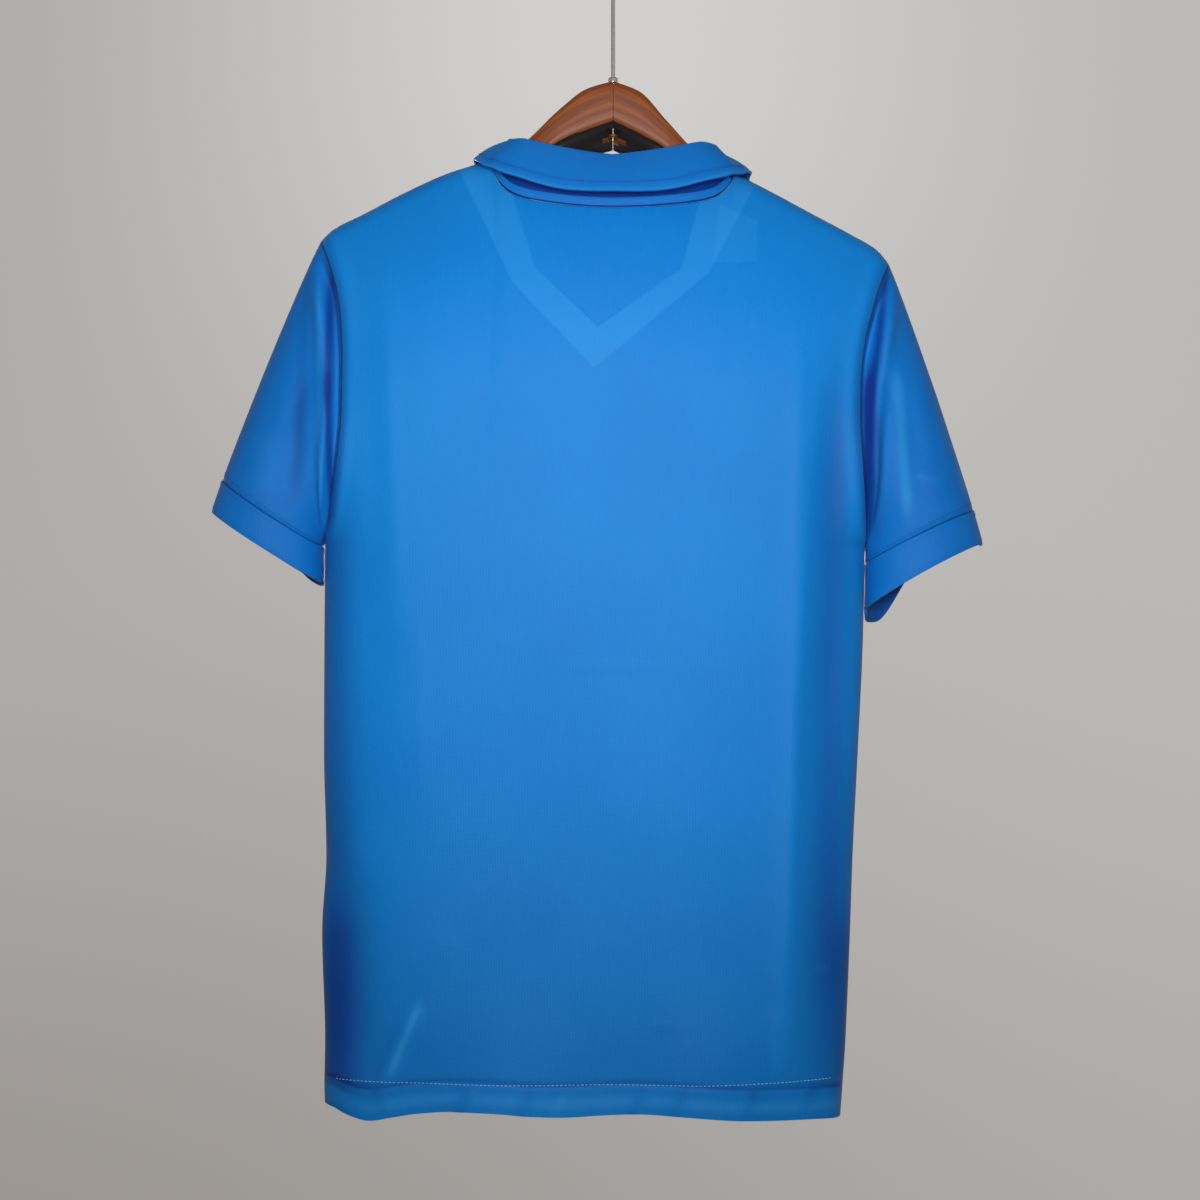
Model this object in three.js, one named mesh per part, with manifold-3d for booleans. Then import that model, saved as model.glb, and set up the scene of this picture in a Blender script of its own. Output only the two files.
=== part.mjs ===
// A short-sleeved football jersey with a soft turn-down collar, seen from its back, on a
// wooden hanger. Millimetres, +Z up. The jersey's back faces -Y, and +X is the wearer's right.
// The origin is where a rail touches the inside of the hook, at the top of its bend.
import * as THREE from "three";
import { mergeVertices } from "three/addons/utils/BufferGeometryUtils.js";
import Module from "manifold-3d";

// ---- sizes -----------------------------------------------------------------------------
// Heights in the tables are measured up from the bottom of the photo's jersey.
const railHeight = 916; // the origin, above that level
const seamGap = 0.4; // between two pieces that are sewn together
const sleeveGap = 0.75; // the same at the armholes and cuffs, whose two edges bend
const clothWall = 1.4; // thickness of a single layer of knit
const hem = { height: 12, deep: 22, extra: 0.6, flare: 3.5, wave: 1.6, wavelength: 150 };
const body = {
  depth: 52, // half of the depth, back to front
  corner: 2.8, // how square the sides of a section are
  ridge: 12, // radius of the cloth over the hanger
  slopeLength: 170, // how far below the shoulder line the body reaches its full depth
  armpit: 434,
  armholeDepth: 0.78, // how much of the depth the armhole has half way up
  chest: 150, // the middle of the body fills out over this much below and above the armpit
};
// the lower edge, from side to side
const hemTable = [
  { x: -218, back: 15, front: 15 },
  { x: -209, back: 14, front: 13.5 },
  { x: -200, back: 10.5, front: 11 },
  { x: -182, back: 6.5, front: 9 },
  { x: -164, back: 9.6, front: 9.5 },
  { x: -145, back: 13, front: 12 },
  { x: -118, back: 15.3, front: 14.5 },
  { x: -90, back: 15, front: 16 },
  { x: -60, back: 13, front: 15.5 },
  { x: -36, back: 12, front: 13 },
  { x: 0, back: 13.4, front: 11 },
  { x: 20, back: 14, front: 10.5 },
  { x: 56, back: 12.2, front: 12 },
  { x: 93, back: 9, front: 13 },
  { x: 120, back: 7.5, front: 12 },
  { x: 150, back: 6.2, front: 8.5 },
  { x: 172, back: 4, front: 4 },
];
// where the two side edges of the body hang
const sideTable = [
  { height: 0, left: -218.0, right: 172.0 },
  { height: 28, left: -219.0, right: 174.0 },
  { height: 60, left: -218.6, right: 176.4 },
  { height: 142, left: -221.0, right: 180.0 },
  { height: 200, left: -217.8, right: 182.0 },
  { height: 280, left: -219.6, right: 186.0 },
  { height: 370, left: -219.2, right: 190.0 },
  { height: 434, left: -218.6, right: 191.2 },
];
// the armhole seams, from the armpit (rise 0) to the shoulder point (rise 1)
const armholeTable = [
  { rise: 0.0, left: -218.6, right: 191.2 },
  { rise: 0.12, left: -211.5, right: 188.4 },
  { rise: 0.3, left: -204.0, right: 184.6 },
  { rise: 0.42, left: -201.8, right: 183.2 },
  { rise: 0.56, left: -201.6, right: 184.3 },
  { rise: 0.7, left: -202.6, right: 188.0 },
  { rise: 0.8, left: -205.4, right: 192.8 },
  { rise: 0.9, left: -211.5, right: 199.3 },
  { rise: 1.0, left: -221.0, right: 208.5 },
];
// the shoulder seams, from the neck point (along 0) to the shoulder point (along 1)
const neckPoint = { left: -94, right: 93 };
const shoulderTable = [
  { along: 0.0, left: 727.0, right: 717.0 },
  { along: 0.25, left: 716.8, right: 702.0 },
  { along: 0.5, left: 702.5, right: 686.4 },
  { along: 0.75, left: 686.0, right: 671.0 },
  { along: 0.93, left: 674.3, right: 658.6 },
  { along: 1.0, left: 666.0, right: 649.0 },
];
const neckCrest = 14; // the shoulder line's rise between the two neck points, over the neck
const backNeck = { low: 686, round: 0.35, middle: -0.5 };
// the front neckline, a V with steep upper ends
const frontNeckTable = [
  { x: -94, height: 727 },
  { x: -77.5, height: 702 },
  { x: -61.8, height: 656 },
  { x: -11.5, height: 608 },
  { x: 52.2, height: 653 },
  { x: 72, height: 700 },
  { x: 93, height: 717 },
];
const frontNeckMiddle = -11.5;
// the band stitched round the V, each row one of its corners
const bandTable = [
  { innerX: -77.5, innerHeight: 697, outerX: -99, outerHeight: 690 },
  { innerX: -63.2, innerHeight: 655, outerX: -79.5, outerHeight: 644 },
  { innerX: -11.6, innerHeight: 606, outerX: -13.8, outerHeight: 574 },
  { innerX: 53.6, innerHeight: 651.6, outerX: 75.8, outerHeight: 647 },
  { innerX: 71.5, innerHeight: 694, outerX: 93, outerHeight: 688 },
];
const band = { steps: 6, off: 0.5, wall: 1.2 };
// long soft folds: a row is one fold, running from its top to its foot (out is + proud)
const backFolds = [
  { topX: 158, topHeight: 640, footX: 131, footHeight: 60, halfWidth: 26, out: 2.6 },
  { topX: -172, topHeight: 600, footX: -150, footHeight: 250, halfWidth: 24, out: 1.6 },
  { topX: -60, topHeight: 330, footX: -100, footHeight: 20, halfWidth: 42, out: -2.0 },
  { topX: 40, topHeight: 260, footX: 70, footHeight: 15, halfWidth: 46, out: 2.2 },
];
const frontFolds = [
  { topX: -150, topHeight: 620, footX: -168, footHeight: 40, halfWidth: 28, out: 2.4 },
  { topX: 139, topHeight: 600, footX: 118, footHeight: 90, halfWidth: 30, out: 2.2 },
  { topX: 6, topHeight: 470, footX: -30, footHeight: 20, halfWidth: 52, out: -2.4 },
];
const grid = {
  neckShares: [0.3, 0.61, 0.8, 0.91, 0.97, 1], // columns from the middle to the neck point
  shoulderColumns: 9,
  bodyRows: 9, // between the hem band and the armpit
  rises: [0, 0.07, 0.15, 0.24, 0.34, 0.45, 0.56, 0.67, 0.77, 0.85, 0.91, 0.955, 0.983, 0.996, 1],
  sleeveRings: [0, 0.05, 0.12, 0.22, 0.35, 0.5, 0.65, 0.8, 0.92, 1],
};
// The sleeve's end and the cuff's end are tilted ovals, from an outer to an inner corner. sag is
// how much the near layer bends down, lift how much higher the far one is at the outer corner
// and droop how much lower it hangs at the inner one.
const sleeves = {
  left: {
    seam: { outerX: -297.2, outerHeight: 484.6, innerX: -221.2, innerHeight: 434.5, sag: 2 },
    end: { outerX: -305.6, outerHeight: 460.4, innerX: -221.6, innerHeight: 406.5, sag: 1.5 },
    halfDepth: 32, middleY: 5, lift: 3, droop: 7, top: 14,
  },
  right: {
    seam: { outerX: 274.4, outerHeight: 460.2, innerX: 194, innerHeight: 421, sag: -4.5 },
    end: { outerX: 281.6, outerHeight: 434.6, innerX: 194.6, innerHeight: 386, sag: -6 },
    halfDepth: 32, middleY: 5, lift: 8, droop: 19, top: 14,
  },
};
const cuffWall = 2.2; // two layers and a seam
const cuffRings = [0, 0.33, 0.67, 1];
// The collar stands up from the neckline, rolls over and falls outside. A row is a station
// from the middle of the back (along 0) over the neck point (0.62) to the front end (1).
const collarWall = 1.8;
const neckStation = 0.62;
const collarFrontX = { left: -62.5, right: 53 };
const collarTable = [
  { along: 0.0, stand: 39, lean: 2, out: 20, drop: 30, turn: -90, lift: 0 },
  { along: 0.18, stand: 42.5, lean: 2, out: 20, drop: 34, turn: -87, lift: 0 },
  { along: 0.3, stand: 44, lean: 4, out: 19, drop: 32, turn: -80, lift: 0 },
  { along: 0.42, stand: 36.5, lean: 9, out: 24, drop: 25.5, turn: -60, lift: 0 },
  { along: 0.5, stand: 23, lean: 12, out: 26, drop: 18.5, turn: -42, lift: 0 },
  { along: 0.62, stand: 12.5, lean: 11, out: 24.5, drop: 13.5, turn: -5, lift: 2 },
  { along: 0.8, stand: 11, lean: 6, out: 42, drop: 16, turn: 6, lift: 8 },
  { along: 1.0, stand: 3, lean: 5.5, out: 56, drop: 3, turn: -6, lift: 8 },
];
const collarSteps = 18; // stations on each side of the middle
const binding = { reach: 0.5, low: 0.7, high: 7, wall: 1.0, steps: 20 };
// The hanger: two wooden halves that meet at the hook, and a steel hook with its nut.
const archTable = [
  { across: 0, leftTop: 785, rightTop: 785, leftFoot: 751, rightFoot: 751, halfDepth: 20 },
  { across: 20, leftTop: 779, rightTop: 777, leftFoot: 744, rightFoot: 741, halfDepth: 20 },
  { across: 40, leftTop: 764, rightTop: 755.5, leftFoot: 736, rightFoot: 730, halfDepth: 19 },
  { across: 60, leftTop: 745.5, rightTop: 734.5, leftFoot: 722, rightFoot: 712, halfDepth: 15.5 },
  { across: 80, leftTop: 728.8, rightTop: 718.6, leftFoot: 706, rightFoot: 695, halfDepth: 12.5 },
];
const arm = {
  reach: 0.78, // how far along the shoulder seam the arm goes
  rootUnder: 4.8, endUnder: 2.6, // its top below the outside of the cloth
  rootTall: 24, endTall: 15, rootDepth: 11.5, endDepth: 9.6,
  undersideFall: 21, // the underside falls towards the front at the hook
  fallFrom: 5, fallWidth: 66,
  archSquare: 5, armSquare: 2.2, // how square a section is, at the hook and under the cloth
};
const hook = { wire: 1.55, bend: 22, neckBend: 10, neckAngle: 60, endAngle: 200, sides: 8 };
const ferrule = { radius: 3.7, tall: 4.6 };
const nut = { radius: 4.4, tall: 2.4 };
const bore = 1.9; // hole for the wire
const colours = {
  cloth: 0x2b86cd, trim: 0x2274bd, wood: 0x84492a, steel: 0xb9bcc0, brass: 0xb08d4a,
};

// ---- small helpers ---------------------------------------------------------------------
const clamp = (t, low, high) => Math.min(high, Math.max(low, t));
const mix = (a, b, t) => a + (b - a) * t;
const ease = (t) => {
  const c = clamp(t, 0, 1);
  return c * c * (3 - 2 * c);
};
const xyz = (x, y, z) => new THREE.Vector3(x, y, z);

// A table's column at a value of its first column: a smooth curve through the rows, whose
// slope at a row is the mean of the slopes on its two sides, or none where they turn.
function read(table, by, column, at) {
  const last = table.length - 1;
  let i = 0;
  while (i < last - 1 && at > table[i + 1][by]) i++;
  const slope = (k) => (table[k + 1][column] - table[k][column]) / (table[k + 1][by] - table[k][by]);
  const knot = (k) => {
    if (k === 0) return slope(0);
    if (k === last) return slope(last - 1);
    const a = slope(k - 1), b = slope(k);
    return a * b <= 0 ? 0 : (2 * a * b) / (a + b);
  };
  const width = table[i + 1][by] - table[i][by];
  const t = clamp((at - table[i][by]) / width, 0, 1);
  const a = table[i][column], b = table[i + 1][column];
  return a * (2 * t ** 3 - 3 * t * t + 1) + b * (3 * t * t - 2 * t ** 3) +
    width * (knot(i) * (t ** 3 - 2 * t * t + t) + knot(i + 1) * (t ** 3 - t * t));
}
// The same with straight lines between the rows.
function readStraight(table, by, column, at) {
  let i = 0;
  while (i < table.length - 2 && at > table[i + 1][by]) i++;
  const t = clamp((at - table[i][by]) / (table[i + 1][by] - table[i][by]), 0, 1);
  return mix(table[i][column], table[i + 1][column], t);
}

// A closed body from a list of points and of triangles, turned so that it faces outwards.
function bodyOf(points, triangles) {
  let volume = 0;
  for (const [a, b, c] of triangles) volume += points[a].dot(points[b].clone().cross(points[c]));
  const turned = volume < 0 ? triangles.map(([a, b, c]) => [a, c, b]) : triangles;
  const geometry = new THREE.BufferGeometry();
  const flat = points.flatMap((p) => [p.x, p.y, p.z - railHeight]);
  geometry.setAttribute("position", new THREE.Float32BufferAttribute(flat, 3));
  geometry.setIndex(turned.flat());
  geometry.computeVertexNormals();
  return geometry;
}

// A cloth wall between two grids of points, outside and inside: rows of equal length, and
// with ring set each row closes on itself.
function wallOf(outside, inside, ring = false) {
  const rows = outside.length, columns = outside[0].length;
  const points = [...outside.flat(), ...inside.flat()];
  const at = (side, r, c) => side * rows * columns + r * columns + (c % columns);
  const triangles = [];
  const quad = (a, b, c, d) => triangles.push([a, b, c], [a, c, d]);
  const spans = ring ? columns : columns - 1;
  for (let r = 0; r < rows - 1; r++)
    for (let c = 0; c < spans; c++) {
      quad(at(0, r, c), at(0, r, c + 1), at(0, r + 1, c + 1), at(0, r + 1, c));
      quad(at(1, r, c), at(1, r + 1, c), at(1, r + 1, c + 1), at(1, r, c + 1));
    }
  for (let c = 0; c < spans; c++) {
    quad(at(0, 0, c), at(1, 0, c), at(1, 0, c + 1), at(0, 0, c + 1));
    quad(at(0, rows - 1, c), at(0, rows - 1, c + 1), at(1, rows - 1, c + 1), at(1, rows - 1, c));
  }
  if (!ring)
    for (let r = 0; r < rows - 1; r++) {
      quad(at(0, r, 0), at(0, r + 1, 0), at(1, r + 1, 0), at(1, r, 0));
      const c = columns - 1;
      quad(at(0, r, c), at(1, r, c), at(1, r + 1, c), at(0, r + 1, c));
    }
  return bodyOf(points, triangles);
}

// A solid through closed loops of equal length, with a flat cap on its first and last.
function loftOf(loops) {
  const count = loops[0].length;
  const points = loops.flat();
  const triangles = [];
  for (let i = 0; i < loops.length - 1; i++)
    for (let k = 0; k < count; k++) {
      const a = i * count + k, b = i * count + ((k + 1) % count);
      triangles.push([a, b, b + count], [a, b + count, a + count]);
    }
  const end = (loops.length - 1) * count;
  for (let k = 1; k < count - 1; k++) triangles.push([0, k + 1, k], [end, end + k, end + k + 1]);
  return bodyOf(points, triangles);
}

// ---- the form of the body --------------------------------------------------------------
const shoulderPoint = { left: armholeTable.at(-1).left, right: armholeTable.at(-1).right };
const shoulderEnd = { left: shoulderTable.at(-1).left, right: shoulderTable.at(-1).right };

// Height of the shoulder line over x, carried on over the neck as a low arch.
function shoulderLine(x) {
  if (x < neckPoint.left)
    return read(shoulderTable, "along", "left", (x - neckPoint.left) / (shoulderPoint.left - neckPoint.left));
  if (x > neckPoint.right)
    return read(shoulderTable, "along", "right", (x - neckPoint.right) / (shoulderPoint.right - neckPoint.right));
  const t = (x - neckPoint.left) / (neckPoint.right - neckPoint.left);
  return mix(shoulderTable[0].left, shoulderTable[0].right, t) + neckCrest * 4 * t * (1 - t);
}

// Left and right edge of the body at a height: the side below the armpit, the armhole above.
function edges(height) {
  if (height <= body.armpit)
    return {
      left: read(sideTable, "height", "left", height),
      right: read(sideTable, "height", "right", height),
    };
  const rise = (end) => clamp((height - body.armpit) / (end - body.armpit), 0, 1);
  return {
    left: read(armholeTable, "rise", "left", rise(shoulderEnd.left)),
    right: read(armholeTable, "rise", "right", rise(shoulderEnd.right)),
  };
}

// Depth below the shoulder ridge: a round of the ridge's radius, then an even curve.
function ridgeDepth(below) {
  const r = body.ridge;
  const round = below < r ? r * Math.sqrt(1 - (1 - Math.max(below, 0) / r) ** 2) : r;
  return round + (body.depth - r) * (1 - (1 - clamp(below / body.slopeLength, 0, 1)) ** 2);
}

// How proud the folds stand at a point: each is a soft bell across its line.
function foldsAt(folds, x, height) {
  let sum = 0;
  for (const f of folds) {
    const t = (f.topHeight - height) / (f.topHeight - f.footHeight);
    if (t <= -0.15 || t >= 1.15) continue;
    const off = (x - mix(f.topX, f.footX, t)) / f.halfWidth;
    sum += f.out * Math.exp(-off * off) * ease((t + 0.15) / 0.3) * ease((1.15 - t) / 0.3);
  }
  return sum;
}

// Distance of the cloth's outside from the middle plane: the ridge's depth, less the fall
// to the side seam or the armhole, with the folds and the hem's flare and waves. At the edge
// the armhole opens sharply from the armpit, and the middle of the body fills out slowly.
function skin(side, x, height) {
  const { left, right } = edges(height);
  const across = clamp(Math.abs((2 * x - left - right) / (right - left)), 0, 1);
  const atEdge = across ** 12;
  const end = mix(shoulderEnd.left, shoulderEnd.right,
    (x - shoulderPoint.left) / (shoulderPoint.right - shoulderPoint.left));
  const rise = (height - body.armpit) / (end - body.armpit);
  const opening = Math.sqrt(1 - (1 - clamp(rise / 0.35, 0, 1)) ** 2);
  const filling = ease((height - body.armpit + body.chest) / (2 * body.chest));
  const start = body.armholeDepth * mix(filling, opening, atEdge);
  const held = start + (1 - body.armholeDepth) * ease((rise - 0.6) / 0.4);
  const n = body.corner;
  const round = (1 - across ** n) ** (1 / n);
  const flat = 1 - across ** 6;
  const arch = mix(round, flat, clamp(start / body.armholeDepth, 0, 1));
  const low = ease(1 - (height - hem.height) / 130);
  const wave = hem.wave * 2 * Math.sin((2 * Math.PI * (x + side * 37)) / hem.wavelength);
  const extra = foldsAt(side < 0 ? backFolds : frontFolds, x, height) * (1 - held) +
    low * (hem.flare + wave);
  return ridgeDepth(shoulderLine(x) - height) * (held + (1 - held) * arch) + extra * arch;
}

// Height of the back neckline, flat in the middle and steep at the neck points.
function backNeckline(x) {
  const half = x < backNeck.middle ? backNeck.middle - neckPoint.left : neckPoint.right - backNeck.middle;
  const s = clamp(Math.abs(x - backNeck.middle) / half, 0, 1);
  const top = x < backNeck.middle ? shoulderTable[0].left : shoulderTable[0].right;
  return mix(backNeck.low, top, backNeck.round * s * s + (1 - backNeck.round) * s ** 12);
}
const frontNeckline = (x) => readStraight(frontNeckTable, "x", "height", x);

// ---- front and back --------------------------------------------------------------------
// Places of the columns at the top edge: close together at the sides and the neck points.
function columnsOf(middle) {
  const places = [];
  for (let i = 0; i <= grid.shoulderColumns; i++)
    places.push(mix(shoulderPoint.left, neckPoint.left, (i / grid.shoulderColumns) ** 2));
  const neck = grid.neckShares;
  for (const share of neck.slice(0, -1).reverse()) places.push(mix(middle, neckPoint.left, share));
  places.push(middle);
  for (const share of neck) places.push(mix(middle, neckPoint.right, share));
  for (let i = grid.shoulderColumns - 1; i >= 0; i--)
    places.push(mix(shoulderPoint.right, neckPoint.right, (i / grid.shoulderColumns) ** 2));
  return places;
}

// Outside points of a panel and the direction of its wall at each of them.
function panelGrid(side) {
  const middle = side < 0 ? backNeck.middle : frontNeckMiddle;
  const top = (x) => {
    if (x <= neckPoint.left || x >= neckPoint.right) return shoulderLine(x);
    return side < 0 ? backNeckline(x) : frontNeckline(x);
  };
  const topPlaces = columnsOf(middle);
  const span = shoulderPoint.right - shoulderPoint.left;
  const shares = topPlaces.map((x) => (x - shoulderPoint.left) / span);
  const hemTop = hem.height + hem.deep;
  const heights = [hem.height, hem.height + 8, hemTop - 1, hemTop + 1];
  for (let i = 1; i <= grid.bodyRows; i++) heights.push(mix(hemTop + 1, body.armpit, i / grid.bodyRows));
  const rows = heights.map((height) => ({ height }));
  for (const rise of grid.rises.slice(1)) rows.push({ rise });

  const points = rows.map(({ height, rise }) => shares.map((share, c) => {
    let x, z;
    if (rise === undefined) {
      const { left, right } = edges(height);
      x = mix(left, right, share);
      const low = ease(1 - (height - hem.height) / 90);
      z = height + low * (read(hemTable, "x", side < 0 ? "back" : "front", x) - hem.height);
    } else {
      x = mix(read(armholeTable, "rise", "left", rise), read(armholeTable, "rise", "right", rise), share);
      const crown = rise === 1 ? top(topPlaces[c]) : top(mix(x, topPlaces[c], ease(rise)));
      z = mix(body.armpit, crown, rise);
    }
    const edge = c === 0 || c === shares.length - 1;
    const seam = (edge && rise === undefined) || (rise === 1 && skin(side, x, z) < 1);
    const proud = height !== undefined && height < hemTop ? hem.extra : 0;
    const y = seam ? seamGap / 2 : Math.max(skin(side, x, z) + proud, seamGap / 2);
    return xyz(x, side * y, z);
  }));

  // The wall runs across the surface. On a seam with the other panel it lies in the plane
  // of the seam, so that the two edges are parallel.
  const last = points.length - 1, end = shares.length - 1;
  const walls = points.map((row, r) => row.map((p, c) => {
    const along = points[r][Math.min(c + 1, end)].clone().sub(points[r][Math.max(c - 1, 0)]);
    const up = points[Math.min(r + 1, last)][c].clone().sub(points[Math.max(r - 1, 0)][c]);
    const n = along.cross(up).multiplyScalar(-side);
    const sideSeam = (c === 0 || c === end) && rows[r].rise === undefined;
    const shoulderSeam = r === last && (topPlaces[c] <= neckPoint.left || topPlaces[c] >= neckPoint.right);
    if (sideSeam) return xyz(c === 0 ? -1 : 1, 0, 0);
    if (shoulderSeam) {
      const fall = shoulderLine(p.x + 2) - shoulderLine(p.x - 2);
      return xyz(-fall / 4, 0, 1).normalize();
    }
    return n.normalize();
  }));
  return { points, walls, rows, end };
}

const inward = (points, walls, by) =>
  points.map((row, r) => row.map((p, c) => p.clone().addScaledVector(walls[r][c], -by)));

const backGrid = panelGrid(-1);
const frontGrid = panelGrid(1);
const panelOf = ({ points, walls }) => wallOf(points, inward(points, walls, clothWall));

// ---- sleeves and cuffs -----------------------------------------------------------------
// The armhole's points from the shoulder point down the back to the armpit and up the
// front, with the wall's direction there and the way on into the sleeve.
function armholeOf(name) {
  const c = name === "left" ? 0 : backGrid.end;
  const outward = name === "left" ? -1 : 1;
  const first = backGrid.rows.findIndex((row) => row.rise !== undefined);
  const loop = [];
  for (let r = backGrid.points.length - 1; r >= first; r--)
    loop.push({ at: backGrid.points[r][c], wall: backGrid.walls[r][c], rise: backGrid.rows[r].rise });
  const pit = first - 1;
  loop.push({ at: backGrid.points[pit][c].clone().setY(0), wall: xyz(outward, 0, 0), rise: 0 });
  for (let r = first; r < frontGrid.points.length; r++)
    loop.push({ at: frontGrid.points[r][c], wall: frontGrid.walls[r][c], rise: -frontGrid.rows[r].rise });
  loop.pop();
  loop[0] = { ...loop[0], at: loop[0].at.clone().setY(0) };
  const count = loop.length;
  return loop.map((row, k) => {
    const before = loop[(k + count - 1) % count].at, after = loop[(k + 1) % count].at;
    const on = after.clone().sub(before).cross(row.wall).normalize();
    return { ...row, on: on.multiplyScalar(name === "left" ? 1 : -1), outward };
  });
}

// Corner ring of a sleeve: a tilted oval, whose angle runs like the armhole's loop.
function ovalPoint(size, ring, angle) {
  const t = (1 - Math.cos(angle)) / 2;
  const across = Math.sin(angle);
  const far = across < 0 ? Math.sqrt(-across) : 0, near = across > 0 ? across : 0;
  const fall = mix(-size.lift, size.droop, ease((t - 0.5) / 0.4));
  return xyz(
    mix(ring.outerX, ring.innerX, t),
    size.middleY - size.halfDepth * across,
    mix(ring.outerHeight, ring.innerHeight, t) - fall * far - ring.sag * near,
  );
}

function sleeveGrids(name) {
  const size = sleeves[name];
  const loop = armholeOf(name);
  const count = loop.length;
  const angles = loop.map((row, k) => {
    const a = Math.PI * (1 - Math.abs(row.rise));
    return k * 2 > count ? 2 * Math.PI - a : a;
  });
  const start = loop.map((row) => row.at.clone().addScaledVector(row.on, sleeveGap));
  const finish = angles.map((a) => ovalPoint(size, size.seam, a));
  const tip = angles.map((a) => ovalPoint(size, size.end, a));
  const rings = grid.sleeveRings.map((v) => loop.map((row, k) => {
    const reach = finish[k].distanceTo(start[k]);
    const most = mix(size.top, 70, Math.abs(Math.sin(angles[k])));
    const leave = row.on.clone().multiplyScalar(clamp(reach * 0.5, 8, most));
    const arrive = tip[k].clone().sub(finish[k]).normalize().multiplyScalar(reach * 0.9);
    const p = start[k].clone().multiplyScalar(2 * v ** 3 - 3 * v * v + 1);
    p.addScaledVector(leave, v ** 3 - 2 * v * v + v);
    p.addScaledVector(finish[k], 3 * v * v - 2 * v ** 3);
    return p.addScaledVector(arrive, v ** 3 - v * v);
  }));
  const walls = ringWalls(rings, name);
  walls[0] = loop.map((row) => row.wall.clone());
  const cuff = cuffRings.map((v) => angles.map((a, k) => {
    const p = finish[k].clone().lerp(tip[k], v);
    const down = tip[k].clone().sub(finish[k]).normalize();
    return v === 0 ? p.addScaledVector(down, sleeveGap) : p;
  }));
  const cuffWalls = ringWalls(cuff, name);
  walls[walls.length - 1] = cuffWalls[0].map((n) => n.clone());
  return { rings, walls, cuff, cuffWalls };
}

function ringWalls(rings, name) {
  const last = rings.length - 1, count = rings[0].length;
  return rings.map((ring, r) => ring.map((p, k) => {
    const round = ring[(k + 1) % count].clone().sub(ring[(k + count - 1) % count]);
    const down = rings[Math.min(r + 1, last)][k].clone().sub(rings[Math.max(r - 1, 0)][k]);
    return round.cross(down).normalize().multiplyScalar(name === "left" ? -1 : 1);
  }));
}

// ---- collar, binding and band ----------------------------------------------------------
// A station's base on the neckline, its way outwards and its column values.
function collarStation(along) {
  const a = Math.abs(along), name = along < 0 ? "left" : "right";
  const sign = along < 0 ? -1 : 1;
  let x, z, y;
  if (a <= neckStation) {
    x = mix(backNeck.middle, neckPoint[name], Math.sin((a / neckStation) * Math.PI / 2));
    z = backNeckline(x);
    y = -Math.max(skin(-1, x, z) - clothWall / 2, 0);
    if (a > neckStation - 0.001) y = 0;
  } else {
    x = mix(neckPoint[name], collarFrontX[name], (a - neckStation) / (1 - neckStation));
    z = frontNeckline(x);
    y = skin(1, x, z) - clothWall / 2;
  }
  // The base stands off the cut edge, square to it.
  const side = a <= neckStation ? backNeckline : frontNeckline;
  const inner = clamp(x, neckPoint.left + 1, neckPoint.right - 1);
  const steep = (side(inner + 1) - side(inner - 1)) / 2;
  const off = new THREE.Vector2(-steep, 1).normalize();
  const spare = a > neckStation ? 0.75 : 0.15;
  off.multiplyScalar(seamGap + spare + (collarWall / 2 + 0.4) * Math.abs(off.x));
  const value = (column) => read(collarTable, "along", column, a);
  const turn = THREE.MathUtils.degToRad(value("turn"));
  return {
    base: xyz(x + off.x, y, z + off.y),
    outward: xyz(sign * Math.cos(turn), Math.sin(turn), 0),
    stand: value("stand"), lean: value("lean"), out: value("out"), drop: value("drop"),
    lift: value("lift"),
  };
}

// Middle line of the collar at a station, as steps outwards and up from its base: up the
// stand, round the roll, and down the leaf to its edge.
function collarLine({ stand, lean, out, drop }) {
  const roll = Math.min(3, stand * 0.45);
  const standAngle = Math.atan2(lean, stand), fall = Math.atan2(drop, out);
  const centre = { out: -lean, up: stand - roll };
  const line = [];
  const from = Math.PI + standAngle, to = Math.PI / 2 - fall;
  const arc = [];
  for (let i = 0; i <= 4; i++) {
    const angle = mix(from, to, i / 4);
    arc.push({ out: centre.out + roll * Math.cos(angle), up: centre.up + roll * Math.sin(angle) });
  }
  const tip = { out: -lean + out, up: stand - drop };
  line.push({ out: 0, up: 0 });
  line.push({ out: mix(0, arc[0].out, 0.5) - 0.3, up: mix(0, arc[0].up, 0.5) });
  line.push(...arc);
  for (const t of [0.33, 0.67, 1]) {
    const bow = 1.6 * Math.sin(Math.PI * t);
    line.push({
      out: mix(arc[4].out, tip.out, t) + bow * Math.sin(fall),
      up: mix(arc[4].up, tip.up, t) + bow * Math.cos(fall),
    });
  }
  return line;
}

function place(station, { out, up }) {
  const p = station.base.clone().addScaledVector(station.outward, out);
  p.y += station.lift * clamp(up / 5 + Math.max(out, 0) / 30, 0, 1);
  p.z += up;
  return p;
}

// The collar's wall lies half on each side of its middle surface, square to it.
function collarGeometry() {
  const middle = [];
  for (let i = -collarSteps; i <= collarSteps; i++) {
    const station = collarStation(i / collarSteps);
    middle.push(collarLine(station).map((p) => place(station, p)));
  }
  const last = middle.length - 1, end = middle[0].length - 1;
  const walls = middle.map((row, r) => row.map((p, c) => {
    const round = middle[Math.min(r + 1, last)][c].clone().sub(middle[Math.max(r - 1, 0)][c]);
    const over = row[Math.min(c + 1, end)].clone().sub(row[Math.max(c - 1, 0)]);
    return round.cross(over).normalize();
  }));
  return wallOf(inward(middle, walls, -collarWall / 2), inward(middle, walls, collarWall / 2));
}

function bindingGeometry() {
  const loops = [];
  for (let i = -binding.steps / 2; i <= binding.steps / 2; i++) {
    const station = collarStation((i / (binding.steps / 2)) * binding.reach);
    const lean = -station.lean / station.stand;
    const start = collarWall / 2 + 0.75;
    const corner = (off, up) => place(station, { out: off + up * lean, up });
    loops.push([
      corner(start, binding.low), corner(start + binding.wall, binding.low),
      corner(start + binding.wall, binding.high), corner(start, binding.high),
    ]);
  }
  return loftOf(loops);
}

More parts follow.
